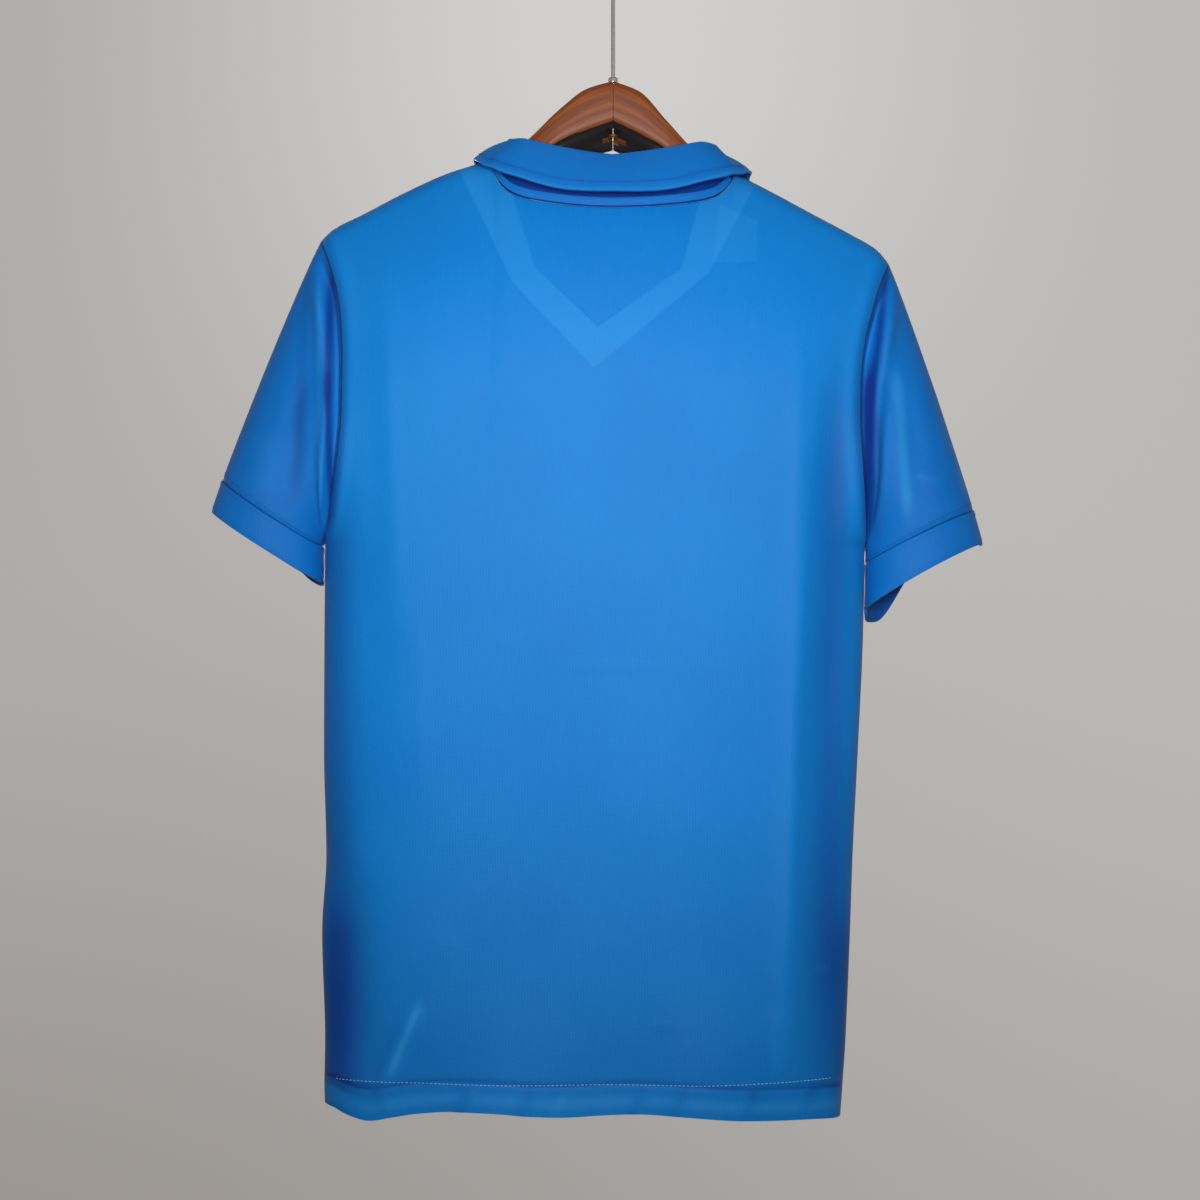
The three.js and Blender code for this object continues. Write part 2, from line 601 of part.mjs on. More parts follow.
function bandGeometry() {
  const outside = [], inside = [];
  for (let i = 0; i < (bandTable.length - 1) * band.steps + 1; i++) {
    const k = Math.min(Math.floor(i / band.steps), bandTable.length - 2);
    const t = i / band.steps - k;
    const a = bandTable[k], b = bandTable[k + 1];
    const edge = (column) => mix(a[column], b[column], t);
    const row = [0, 0.5, 1].map((s) => ({
      x: mix(edge("innerX"), edge("outerX"), s),
      z: mix(edge("innerHeight"), edge("outerHeight"), s),
    }));
    outside.push(row.map(({ x, z }) => xyz(x, skin(1, x, z) + band.off + band.wall, z)));
    inside.push(row.map(({ x, z }) => xyz(x, skin(1, x, z) + band.off, z)));
  }
  return wallOf(outside, inside);
}

// ---- hanger ----------------------------------------------------------------------------
const wasm = await Module();
wasm.setup();

function solidOf(geometry) {
  const g = geometry.clone();
  g.deleteAttribute("normal");
  g.deleteAttribute("uv");
  const merged = mergeVertices(g, 1e-4);
  return new wasm.Manifold(new wasm.Mesh({
    numProp: 3,
    vertProperties: merged.attributes.position.array,
    triVerts: new Uint32Array(merged.index.array),
  }));
}

function geometryOf(solid) {
  const mesh = solid.getMesh();
  const g = new THREE.BufferGeometry();
  g.setAttribute("position", new THREE.BufferAttribute(mesh.vertProperties, 3));
  g.setIndex(new THREE.BufferAttribute(mesh.triVerts, 1));
  g.computeVertexNormals();
  return g;
}

// One half of the hanger, through rounded sections from the hook to the end of the arm.
function armGeometry(name) {
  const sign = name === "left" ? -1 : 1;
  const places = [seamGap / 2, 10, 20, 30, 40, 50, 60, 70, 80].map((across) => {
    const value = (column) => read(archTable, "across", column, across);
    return { x: sign * across, top: value(name + "Top"), foot: value(name + "Foot"), half: value("halfDepth") };
  });
  const steps = 6;
  for (let i = 0; i <= steps; i++) {
    const t = i / steps;
    const x = mix(neckPoint[name], shoulderPoint[name], arm.reach * t);
    const top = shoulderLine(x) - mix(arm.rootUnder, arm.endUnder, Math.min(1, 3 * t));
    const end = i === steps ? 0.72 : 1;
    const tall = mix(arm.rootTall, arm.endTall, t);
    places.push({
      x, top: top - tall * (1 - end) / 2, foot: top - tall * (1 + end) / 2,
      half: mix(arm.rootDepth, arm.endDepth, t) * end,
    });
  }
  const loops = places.map(({ x, top, foot, half }) => {
    const loop = [];
    const square = mix(arm.archSquare, arm.armSquare, ease((Math.abs(x) - 45) / 35));
    for (let k = 0; k < 20; k++) {
      const angle = (k / 20) * 2 * Math.PI;
      const c = Math.cos(angle), s = Math.sin(angle);
      const y = half * Math.sign(c) * Math.abs(c) ** (2 / square);
      const up = Math.sign(s) * Math.abs(s) ** (2 / square);
      const fall = arm.undersideFall * ease(1 - Math.abs(x) / arm.fallWidth);
      const front = clamp((y - arm.fallFrom) / (half - arm.fallFrom), 0, 1);
      const lower = up < 0 ? -up * fall * front : 0;
      loop.push(xyz(x, y, (top + foot) / 2 + (up * (top - foot)) / 2 - lower));
    }
    return loop;
  });
  const drill = new THREE.CylinderGeometry(bore, bore, 90, 16);
  drill.rotateX(Math.PI / 2);
  drill.translate(0, 0, archTable[0].leftTop - 20 - railHeight);
  return geometryOf(solidOf(loftOf(loops)).subtract(solidOf(drill)));
}

// Underside of the wood at the hook, where the nut sits.
const underside = archTable[0].leftFoot - 3.8;

// The wire: up through the wood, a short bend to the side, and round the hook's bend.
function hookGeometry() {
  const centre = railHeight + hook.wire - hook.bend;
  const angle = THREE.MathUtils.degToRad(hook.neckAngle);
  const bend = hook.bend, small = hook.neckBend;
  const straight = ((bend - small) * (1 - Math.cos(angle)) ) / Math.sin(angle);
  const rise = bend * Math.sin(angle) + small * Math.sin(angle) + straight * Math.cos(angle);
  const foot = centre - rise;
  const path = [];
  const bottom = underside - nut.tall - 2.2;
  for (const z of [bottom, mix(bottom, foot, 0.5), foot]) path.push({ x: 0, z });
  for (let i = 1; i <= 4; i++) {
    const a = (angle * i) / 4;
    path.push({ x: small * (1 - Math.cos(a)), z: foot + small * Math.sin(a) });
  }
  const turn = THREE.MathUtils.degToRad(hook.endAngle) + angle;
  for (let i = 0; i <= 22; i++) {
    const a = -angle + (turn * i) / 22;
    path.push({ x: bend * Math.cos(a), z: centre + bend * Math.sin(a) });
  }
  const loops = path.map((p, i) => {
    const a = path[Math.max(i - 1, 0)], b = path[Math.min(i + 1, path.length - 1)];
    const length = Math.hypot(b.x - a.x, b.z - a.z);
    const n = { x: (b.z - a.z) / length, z: -(b.x - a.x) / length };
    const loop = [];
    for (let k = 0; k < hook.sides; k++) {
      const t = ((k + 0.5) / hook.sides) * 2 * Math.PI;
      const r = hook.wire;
      loop.push(xyz(p.x + n.x * r * Math.cos(t), r * Math.sin(t), p.z + n.z * r * Math.cos(t)));
    }
    return loop;
  });
  return loftOf(loops);
}

// A round collar on the wire: a lathe profile that closes on itself.
function ringGeometry(radius, tall, bottom, belly) {
  const profile = [
    [bore, 0], [radius * (1 - belly), 0], [radius, tall * 0.3], [radius, tall * 0.7],
    [radius * (1 - belly), tall], [bore, tall], [bore, 0],
  ].map(([r, h]) => new THREE.Vector2(r, h));
  const g = new THREE.LatheGeometry(profile, 16);
  g.rotateX(Math.PI / 2);
  g.translate(0, 0, bottom - railHeight);
  return geometryOf(solidOf(g));
}

// ---- the group -------------------------------------------------------------------------
const cloth = () => new THREE.MeshStandardMaterial({ color: colours.cloth, roughness: 0.7 });
const trim = () => new THREE.MeshStandardMaterial({ color: colours.trim, roughness: 0.75 });
const wood = () => new THREE.MeshStandardMaterial({ color: colours.wood, roughness: 0.4 });
const steel = () => new THREE.MeshStandardMaterial({ color: colours.steel, roughness: 0.25, metalness: 1 });
const brass = () => new THREE.MeshStandardMaterial({ color: colours.brass, roughness: 0.35, metalness: 1 });

const jersey = new THREE.Group();
function add(name, geometry, material) {
  const mesh = new THREE.Mesh(geometry, material);
  mesh.name = name;
  jersey.add(mesh);
}

add("back_panel", panelOf(backGrid), cloth());
add("front_panel", panelOf(frontGrid), cloth());
for (const name of ["left", "right"]) {
  const { rings, walls, cuff, cuffWalls } = sleeveGrids(name);
  add("sleeve_" + name, wallOf(rings, inward(rings, walls, clothWall), true), cloth());
  add("cuff_" + name, wallOf(cuff, inward(cuff, cuffWalls, cuffWall), true), cloth());
}
add("collar", collarGeometry(), trim());
add("neck_binding", bindingGeometry(), trim());
add("neck_v_band", bandGeometry(), trim());
add("hanger_arm_left", armGeometry("left"), wood());
add("hanger_arm_right", armGeometry("right"), wood());
add("hanger_hook", hookGeometry(), steel());
add("hanger_ferrule", ringGeometry(ferrule.radius, ferrule.tall, archTable[0].leftTop + 0.3, 0.3), steel());
add("hanger_nut", ringGeometry(nut.radius, nut.tall, underside - 0.5 - nut.tall, 0.08), brass());

export default jersey;
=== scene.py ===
import math

import bpy
import numpy as np
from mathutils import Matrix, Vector


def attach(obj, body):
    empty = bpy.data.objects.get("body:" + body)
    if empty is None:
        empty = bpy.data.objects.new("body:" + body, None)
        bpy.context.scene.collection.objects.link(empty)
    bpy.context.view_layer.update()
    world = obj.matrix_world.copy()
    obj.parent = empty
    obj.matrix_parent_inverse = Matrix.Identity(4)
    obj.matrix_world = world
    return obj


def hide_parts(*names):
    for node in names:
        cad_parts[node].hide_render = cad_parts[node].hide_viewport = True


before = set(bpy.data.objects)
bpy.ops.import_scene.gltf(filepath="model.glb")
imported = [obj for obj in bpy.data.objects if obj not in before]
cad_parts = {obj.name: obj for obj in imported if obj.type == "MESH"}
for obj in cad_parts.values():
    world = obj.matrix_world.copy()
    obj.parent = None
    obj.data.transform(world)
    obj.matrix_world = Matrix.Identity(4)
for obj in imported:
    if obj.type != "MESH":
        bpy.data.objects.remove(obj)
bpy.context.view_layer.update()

# Sizes are in millimetres and heights run up from the lowest part of the hem. The origin is the
# rail inside the hook, railHeight above that. The back faces -Y, and +X is the wearer's right.
railHeight = 916.0


# ---- small helpers
def mix(a, b, t):
    return a + (b - a) * t


# Rises from 0 to 1 between t = 0 and t = 1, level at both ends: 3t² - 2t³.
def ease(t):
    t = np.clip(t, 0, 1)
    return t * t * (3 - 2 * t)


def unit(v):
    return v / np.maximum(np.linalg.norm(v, axis=-1, keepdims=True), 1e-9)


# A smooth curve through rows of (place, value): a cubic between two rows, whose slope at a row
# is the harmonic mean of the slopes on its two sides, or none where they turn.
def curve(rows, at, column=1):
    table = np.array(rows, float)
    place, value = table[:, 0], table[:, column]
    step = np.diff(place)
    slope = np.diff(value) / step
    a, b = slope[:-1], slope[1:]
    middle = np.where(a * b > 0, 2 * a * b / np.where(a * b > 0, a + b, 1), 0)
    knot = np.concatenate([slope[:1], middle, slope[-1:]])
    i = np.clip(np.searchsorted(place, at, side="right") - 1, 0, len(step) - 1)
    t = np.clip((at - place[i]) / step[i], 0, 1)
    return (value[i] * (2 * t**3 - 3 * t**2 + 1) + value[i + 1] * (3 * t**2 - 2 * t**3)
            + step[i] * (knot[i] * (t**3 - 2 * t**2 + t) + knot[i + 1] * (t**3 - t**2)))


def straight(rows, at):
    table = np.array(rows, float)
    return np.interp(at, table[:, 0], table[:, 1])


# A bell of a width: e to the power of -(distance / width)².
def bell(distance, width):
    return np.exp(-((distance / width) ** 2))


# Sum of soft ridges and troughs. A row is (x, height, x, height, half width, out): a bell across
# the line between its two points, which fades over the last part at each end.
def creasesAt(rows, x, height, fade=0.3):
    total = np.zeros(np.broadcast(x, height).shape)
    for ax, ah, bx, bh, half, out in rows:
        length = math.hypot(bx - ax, bh - ah)
        along = ((x - ax) * (bx - ax) + (height - ah) * (bh - ah)) / length**2
        off = ((x - ax) * (bh - ah) - (height - ah) * (bx - ax)) / length / half
        total += out * np.exp(-off * off) * ease((along + 0.1) / fade) * ease((1.1 - along) / fade)
    return total


# ---- meshes
# The quads between the points of a grid.
def gridFaces(index):
    corners = [index[:-1, :-1], index[:-1, 1:], index[1:, 1:], index[1:, :-1]]
    return np.stack(corners, -1).reshape(-1, 4)


# The same grid with its first column again at its end.
def closed(grid):
    return np.concatenate([grid, grid[:, :1]], axis=1)


# Faces of a wall, where layer is how far on the second side's points are.
def shellFaces(index, layer, ring):
    near = gridFaces(index)

    def rim(line):
        p, q = line[:-1], line[1:]
        return np.stack([p, p + layer, q + layer, q], -1)

    faces = [near, near[:, ::-1] + layer, rim(index[0]), rim(index[-1])[:, ::-1]]
    if not ring:
        faces += [rim(index[:, 0])[:, ::-1], rim(index[:, -1])]
    return np.concatenate(faces)


# Lengths along the rows and columns of a grid of points, in metres from its middle column.
def clothMap(grid, ring=False):
    if ring:
        grid = closed(grid)
    across = np.linalg.norm(np.diff(grid, axis=1), axis=2)
    along = np.linalg.norm(np.diff(grid, axis=0), axis=2)
    u = np.pad(np.cumsum(across, axis=1), ((0, 0), (1, 0)))
    v = np.pad(np.cumsum(along, axis=0), ((1, 0), (0, 0)))
    u = u - u[:, u.shape[1] // 2][:, None]
    return np.stack([u, v], -1) / 1000


# A cloth wall: the outside grid, the inside grid and the rims between them.
def shell(outside, inside, ring=False):
    rows, columns = outside.shape[:2]
    index = np.arange(rows * columns).reshape(rows, columns)
    if ring:
        index = closed(index)
    uvIndex = np.arange(rows * index.shape[1]).reshape(rows, -1)
    faces = shellFaces(index, rows * columns, ring)
    uvFaces = shellFaces(uvIndex, uvIndex.size, ring)
    uv = clothMap(outside, ring).reshape(-1, 2)
    points = np.concatenate([outside.reshape(-1, 3), inside.reshape(-1, 3)])
    return points, [faces], np.concatenate([uv, uv])[uvFaces.ravel()]


# A solid through closed loops (loop, point, xyz), closed by a fan at both ends.
def loft(loops):
    count, sides = loops.shape[:2]
    index = closed(np.arange(count * sides).reshape(count, sides))
    quads = gridFaces(index)
    middle = count * sides
    first, last = index[0], index[-1]
    tips = np.concatenate([
        np.stack([first[1:], first[:-1], np.full(sides, middle)], -1),
        np.stack([last[:-1], last[1:], np.full(sides, middle + 1)], -1),
    ])
    points, flat = (np.concatenate([grid.reshape(-1, grid.shape[2]), grid[[0, -1]].mean(1)])
                    for grid in (loops, clothMap(loops, True)))
    width = sides + 1
    uvQuads = gridFaces(np.arange(count * width).reshape(count, width))
    uvTips = np.where(tips >= middle, tips - middle + count * width,
                      (tips // sides) * width + tips % sides)
    uv = flat[np.concatenate([uvQuads.ravel(), uvTips.ravel()])]
    return points, [quads, tips], uv


# Puts points in mm and faces into a new object at the origin, with its faces turned outwards.
# The last argument gives each point painted shade or a painted highlight for its colour: from -1, a
# painted highlight on a ridge, to 1, painted shade deep in a fold.
def addPiece(name, form, finish, replaced=(), creased=50, hollow=None):
    points, faces, uv = form
    whole = np.concatenate([np.concatenate([f[:, [0, i, i + 1]] for i in range(1, f.shape[1] - 1)])
                            for f in faces])
    p, q, r = (points[whole[:, i]] for i in range(3))
    if np.einsum("ij,ij->", p, np.cross(q, r)) < 0:
        starts = np.cumsum([0] + [f.size for f in faces])
        turned = [np.arange(f.size).reshape(f.shape)[:, ::-1].ravel() + start
                  for f, start in zip(faces, starts)]
        uv = uv[np.concatenate(turned)] if uv is not None else None
        faces = [f[:, ::-1] for f in faces]
    loops = np.concatenate([f.ravel() for f in faces])
    counts = np.concatenate([np.full(len(f), f.shape[1]) for f in faces])
    mesh = bpy.data.meshes.new(name)
    mesh.vertices.add(len(points))
    metres = (points - [0, 0, railHeight]) / 1000
    mesh.vertices.foreach_set("co", metres.astype(np.float32).ravel())
    mesh.loops.add(len(loops))
    mesh.loops.foreach_set("vertex_index", loops.astype(np.int32))
    mesh.polygons.add(len(counts))
    starts = np.concatenate([[0], np.cumsum(counts)[:-1]])
    mesh.polygons.foreach_set("loop_start", starts.astype(np.int32))
    mesh.update(calc_edges=True)
    mesh.polygons.foreach_set("use_smooth", np.ones(len(counts), bool))
    if uv is not None:
        mesh.uv_layers.new(name="cloth").data.foreach_set("uv", uv.astype(np.float32).ravel())
    if hollow is not None:
        depth = np.resize(np.clip(hollow, -1, 1).ravel(), len(points)).astype(np.float32)
        mesh.attributes.new("hollow", "FLOAT", "POINT").data.foreach_set("value", depth)
    mesh.set_sharp_from_angle(angle=math.radians(creased))
    mesh.materials.append(finish.material)
    piece = bpy.data.objects.new(name, mesh)
    bpy.context.scene.collection.objects.link(piece)
    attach(piece, "root")
    if replaced:
        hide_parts(*replaced)
    return piece


# ---- materials, written as expressions on node sockets
class Wire:
    def __init__(self, finish, socket):
        self.finish, self.socket = finish, socket

    def math(self, operation, *others):
        sockets = dict(enumerate((self,) + others))
        return self.finish.node("ShaderNodeMath", {"operation": operation}, sockets)

    def __add__(self, other):
        return self.math("ADD", other)

    def __sub__(self, other):
        return self.math("SUBTRACT", other)

    def __rsub__(self, other):
        return (self * -1) + other

    def __mul__(self, other):
        return self.math("MULTIPLY", other)

    __radd__ = __add__
    __rmul__ = __mul__

    def between(self, low, high):  # 0 at low and below, 1 at high and above, eased
        return self.finish.node("ShaderNodeMapRange", {"interpolation_type": "SMOOTHSTEP"},
                                {0: self, 1: low, 2: high, 3: 0.0, 4: 1.0})


class Finish:
    def __init__(self, name):
        self.material = bpy.data.materials.new(name)
        self.material.use_nodes = True
        self.tree = self.material.node_tree
        self.tree.nodes.clear()

    # Any node, from its type, its settings, and the values or wires of its sockets.
    def node(self, kind, settings=None, sockets=None, output=0):
        made = self.tree.nodes.new(kind)
        for key, value in (settings or {}).items():
            if key == "stops":
                ramp = made.color_ramp
                while len(ramp.elements) < len(value):
                    ramp.elements.new(0.5)
                for element, (position, colour) in zip(ramp.elements, value):
                    element.position, element.color = position, (*colour, 1)
            else:
                setattr(made, key, value)
        for key, value in (sockets or {}).items():
            if isinstance(value, Wire):
                self.tree.links.new(value.socket, made.inputs[key])
            else:
                made.inputs[key].default_value = value
        return Wire(self, made.outputs[output]) if made.outputs else None

    def split(self, wire):
        made = self.node("ShaderNodeSeparateXYZ", None, {0: wire}).socket.node
        return [Wire(self, made.outputs[i]) for i in range(3)]

    def join(self, x, y, z=0.0):
        return self.node("ShaderNodeCombineXYZ", None, {0: x, 1: y, 2: z})

    def noise(self, place, scale, detail=3.0, roughness=0.5):
        return self.node("ShaderNodeTexNoise", {"noise_dimensions": "3D"},
                         {"Vector": place, "Scale": scale, "Detail": detail,
                          "Roughness": roughness})

    def blend(self, factor, a, b):  # colours a and b, by factor
        return self.node("ShaderNodeMix", {"data_type": "RGBA"}, {0: factor, 6: a, 7: b}, 2)

    def surface(self, sockets, height=None, distance=0.0005):
        if height is not None:
            sockets["Normal"] = self.node("ShaderNodeBump", None, {
                "Strength": 1.0, "Distance": distance, "Height": height})
        shader = self.node("ShaderNodeBsdfPrincipled", None, sockets)
        self.node("ShaderNodeOutputMaterial", None, {"Surface": shader})
        return self


# sRGB numbers from 0 to 255 as the linear colour that a socket takes.
def srgb(r, g, b):
    c = np.array([r, g, b]) / 255
    return (*np.where(c <= 0.04045, c / 12.92, ((c + 0.055) / 1.055) ** 2.4).tolist(), 1.0)


# ---- the jersey's cloth
clothLook = {
    # face and shade are the cloth's own blue, varying at random; lift is a painted highlight, and
    # the two dark blues beside the bump are painted shade, beside seams and deep in folds
    "face": srgb(12, 132, 214), "shade": srgb(8, 120, 203), "lift": srgb(48, 152, 228),
    "roughness": 0.46, "sheen": 0.04, "sheenRoughness": 0.4, "specular": 0.11,
    "wale": 0.00115, "course": 0.0009,  # metres between two columns and two rows of stitches
    "bump": 0.00006, "seamShade": srgb(4, 44, 110), "deep": srgb(10, 42, 132),
    # how much of a colour shows: a painted highlight on pressed edges, painted shade deep in folds,
    # a painted highlight on ridges and painted shade beside seams
    "pressedShare": 0.35, "foldShadeShare": 0.92, "highlightShare": 0.8, "seamShadeShare": 0.75,
    "pressedHeight": 5.0, "pressedBlur": 0.0012,
}


# The convex area inside lines through the corners: the least distance from a line, in metres.
def insideOf(finish, x, z, corners):
    least = None
    for (ax, ah), (bx, bh) in zip(corners[:-1], corners[1:]):
        length = math.hypot(bx - ax, bh - ah)
        nx, nz = -(bh - ah) / length, (bx - ax) / length
        start = nx * ax / 1000 + nz * (ah - railHeight) / 1000
        distance = x * nx + z * nz - start
        least = distance if least is None else least.math("MINIMUM", distance)
    return least


# Knit: fine columns and rows of stitches, a faint unevenness, and where given, the edges of what
# lies under the cloth, pressed through it, raised and with a painted highlight. Folds get painted
# shade and ridges a painted highlight.
def knitFinish(name, look, pressed=(), seamShade=None):
    finish = Finish(name)
    place = finish.node("ShaderNodeTexCoord", output="Object")
    x, _, z = finish.split(place)
    u, v, _ = finish.split(finish.node("ShaderNodeUVMap", {"uv_map": "cloth"}))
    wales = (u * (2 * math.pi / look["wale"])).math("SINE")
    courses = (v * (2 * math.pi / look["course"])).math("SINE")
    streaks = finish.noise(finish.join(u * 900, v * 60), 1.0, 2.0)
    grain = finish.noise(finish.join(u, v), 1500.0, 2.0)
    cloud = finish.noise(place, 9.0, 2.0)
    tone = (cloud - 0.5) * 0.5 + (streaks - 0.5) * 0.35 + (grain - 0.5) * 0.4 + 0.5
    height = wales * 0.5 + courses * 0.3 + (grain - 0.5) * 1.2
    relief, blur = None, look["pressedBlur"]
    for outer, inner, step in pressed:
        inside = insideOf(finish, x, z, outer).between(-blur, blur)
        if inner:
            inside = inside * (1 - insideOf(finish, x, z, inner).between(-blur, blur))
        relief = inside * step if relief is None else relief + inside * step
    colour = finish.blend(tone.between(0.2, 0.8), look["shade"], look["face"])
    if relief is not None:
        # a painted highlight over what is pressed through
        colour = finish.blend(relief * look["pressedShare"], colour, look["lift"])
        height = height + relief * look["pressedHeight"]
    # painted shade deep in folds and a painted highlight on ridges, from each point's attribute
    hollow = finish.node("ShaderNodeAttribute", {"attribute_name": "hollow"}, output=2)
    colour = finish.blend(hollow.between(0.0, 1.0) * look["foldShadeShare"], colour, look["deep"])
    paintedHighlight = (hollow * -1).between(0.0, 1.0)
    colour = finish.blend(paintedHighlight * look["highlightShare"], colour, look["lift"])
    if seamShade:  # the shaded foot of the cloth beside a sewn seam: from, to, in metres
        colour = finish.blend((1 - v.between(*seamShade)) * look["seamShadeShare"], colour, look["seamShade"])
    roughness = (streaks - 0.5) * 0.12 + look["roughness"]
    return finish.surface({
        "Base Color": colour, "Roughness": roughness, "Specular IOR Level": look["specular"],
        "Sheen Weight": look["sheen"], "Sheen Roughness": look["sheenRoughness"],
        "Sheen Tint": (0.75, 0.88, 1.0, 1.0),
    }, height, look["bump"])


def plainFinish(name, colour, **sockets):
    finish = Finish(name)
    place = finish.node("ShaderNodeTexCoord", output="Object")
    grain = finish.noise(place, 700.0, 2.0)
    dark = tuple(c * 0.75 for c in colour[:3]) + (1.0,)
    sockets["Base Color"] = finish.blend(grain, dark, colour)
    return finish.surface(sockets, grain, 0.00005)


# what lies under the back and presses through it, raised and with a painted highlight: the band
# round the front's V and a collar point
pressedThrough = [
    ([(-98, 678), (-75, 629), (-13.5, 563), (44.5, 613.6), (71, 636), (93, 678)],
     [(-72, 685), (-58, 640), (-11.4, 595.6), (50.3, 639), (62, 682)], 1.0),
    ([(74, 644), (106.6, 645.5), (108.3, 678), (80, 690), (74, 644)], None, 0.55),
]
backCloth = knitFinish("jersey_back_knit", clothLook, pressedThrough)
cloth = knitFinish("jersey_knit_cloth", clothLook)
# the sleeves take a darker copy of the body's cloth: painted shade, for sleeves turned from the
# light
sleeveShadedLook = {**clothLook, "face": srgb(12, 120, 206), "shade": srgb(8, 108, 194)}
sleeveCloth = knitFinish("sleeve_knit_shaded_cloth", sleeveShadedLook, seamShade=(0.0008, 0.0026))
trimLook = {**clothLook, "face": srgb(14, 121, 207), "shade": srgb(10, 109, 195),
            "lift": srgb(48, 146, 222), "wale": 0.0013, "bump": 0.00008}
trimCloth = knitFinish("trim_knit_cloth", trimLook)
cuffCloth = knitFinish("cuff_knit_cloth", trimLook, seamShade=(0.0006, 0.0018))
threadBlue = plainFinish("thread_blue", srgb(8, 66, 140), Roughness=0.6)
threadLight = plainFinish("thread_light", srgb(176, 206, 232), Roughness=0.6)
print("cloth finishes made")

# ---- front and back
bodySizes = {
    "seamGap": 0.06, "wall": 1.4, "depth": 52.0, "corner": 2.8, "ridge": 12.0, "slopeLength": 170.0,
    "armpit": 434.0, "armholeDepth": 0.78, "chest": 150.0, "neckCrest": 14.0,
    "column": 2.5, "row": 3.3,  # the grid's spacing
    "seamDip": 1.1, "seamWidth": 1.7,  # how the cloth pulls in beside the armhole seam
    "seamEdge": 0.5, "edgeWidth": 5.0,  # and how it stands up beyond that
}
hem = {"height": 12.0, "deep": 22.0, "extra": 0.6, "flare": 3.5, "wave": 1.6, "wavelength": 150.0,
       "groove": 0.5}
# the lower edge: x, back, front
hemTable = [(-218, 15, 15), (-209, 14, 13.5), (-200, 10.5, 11), (-182, 6.5, 9), (-164, 9.6, 9.5),
            (-145, 13, 12), (-118, 15.3, 14.5), (-90, 15, 16), (-60, 13, 15.5), (-36, 12, 13),
            (0, 13.4, 11), (20, 14, 10.5), (56, 12.2, 12), (93, 9, 13), (120, 7.5, 12),
            (150, 6.2, 8.5), (172, 4, 4)]
# the body's left and right edge by height, and the armholes' by share of their height
sideTable = [(0, -218, 172), (28, -219, 174), (60, -218.6, 176.4), (142, -221, 180),
             (200, -217.8, 182), (280, -219.6, 186), (370, -219.2, 190), (434, -218.6, 191.2)]
armholeTable = [(0, -218.6, 191.2), (0.12, -211.5, 188.4), (0.3, -204, 184.6),
                (0.42, -201.8, 183.2), (0.56, -201.6, 184.3), (0.7, -202.6, 188),
                (0.8, -205.4, 192.8), (0.9, -211.5, 199.3), (1, -221, 208.5)]
neckPoint = (-94.0, 93.0)
shoulderPoint = (-221.0, 208.5)
shoulderTable = [(0, 727, 717), (0.25, 716.8, 702), (0.5, 702.5, 686.4), (0.75, 686, 671),
                 (0.93, 674.3, 658.6), (1, 666, 649)]
backNeck = {"low": 686.0, "round": 0.35, "middle": -0.5}
frontNeckTable = [(-94, 727), (-77.5, 702), (-61.8, 656), (-11.5, 608), (52.2, 653), (72, 700),
                  (93, 717)]
frontNeckMiddle = -11.5
# long soft folds: top x, top height, foot x, foot height, half width, out
backFolds = [(158, 640, 131, 60, 26, 2.6), (-172, 600, -150, 250, 24, 1.6),
             (-60, 330, -100, 20, 42, -2.0), (40, 260, 70, 15, 46, 2.2)]
frontFolds = [(-150, 620, -168, 40, 28, 2.4), (139, 600, 118, 90, 30, 2.2),
              (6, 470, -30, 20, 52, -2.4)]
# shorter creases
backCreases = [
    (-143, 92, -169, 34, 5.5, 1.7), (-152, 70, -172, 40, 4.5, -0.9), (124, 92, 126, 36, 9, 1.2),
    (-165, 590, -163, 470, 7, 0.45), (-143, 372, -142, 250, 6, 0.4), (-42, 345, 36, 343, 5, 0.35),
    (29, 79, 48, 76, 3.5, 0.4), (150, 120, 161, 115, 3.5, 0.4), (152, 560, 138, 330, 5, 0.8),
    (137, 345, 131, 120, 6, 0.7), (-200, 470, -170, 330, 16, -1.3), (176, 450, 160, 300, 13, -1.3),
    (164, 560, 152, 60, 13, -7.0), (139, 600, 128, 60, 9, 2.2), (-200, 190, -192, 40, 18, -7.0),
    (-120, 150, -150, 60, 14, 1.2), (-188, 640, -176, 420, 9, -0.9), (-170, 640, -160, 380, 8, 0.8),
]
frontCreases = [
    (130, 108, 148, 40, 6, 1.5), (-132, 92, -128, 36, 9, 1.2), (-160, 520, -150, 300, 8, 0.8),
    (150, 600, 140, 430, 7, 0.5), (-20, 470, 60, 462, 8, 0.5), (182, 460, 150, 320, 16, -1.4),
    (-196, 452, -176, 310, 13, -1.3), (-60, 585, -120, 520, 14, 0.8), (40, 590, 96, 530, 13, 0.7),
]
# slanting puckers in the hem, for the back; the front has them mirrored
hemPuckers = [
    (-116, 14, -104, 34, 5, 0.8), (-70, 13, -60, 34, 5, 0.7), (-46, 14, -34, 34, 4, -0.6),
    (12, 13, 24, 34, 5, 0.8), (42, 14, 54, 34, 5, 0.7), (96, 14, 106, 33, 6, 0.6),
    (-170, 13, -176, 34, 5, 0.5), (140, 14, 150, 34, 5, 0.5),
]

# painted shade (+) where folds lie deep and a painted highlight (-) where they stand proud: x,
# height, x, height, half width, how much
backPaintedShading = [
    (167, 590, 160, 30, 15, 0.5), (141, 600, 127, 50, 8, -0.22), (-210, 520, -206, 0, 20, 0.42),
    (-204, 170, -204, 0, 18, 0.25),
    (185, 160, 180, 20, 14, 0.3), (-143, 96, -168, 36, 4, -1.0), (-154, 84, -178, 34, 6, 0.15),
    (126, 96, 130, 36, 8, -0.3), (-165, 590, -163, 470, 6, -0.12), (-143, 372, -142, 250, 6, -0.12),
    (-42, 345, 36, 343, 4, -0.1), (29, 79, 48, 76, 2, 0.12), (152, 120, 162, 115, 2.5, -0.1),
    (-100, 700, 100, 700, 10, 0.1),
]
frontPaintedShading = [(-196, 470, -180, 250, 16, 0.12), (182, 480, 158, 250, 18, 0.12),
                (-170, 590, -176, 30, 15, 0.3)]
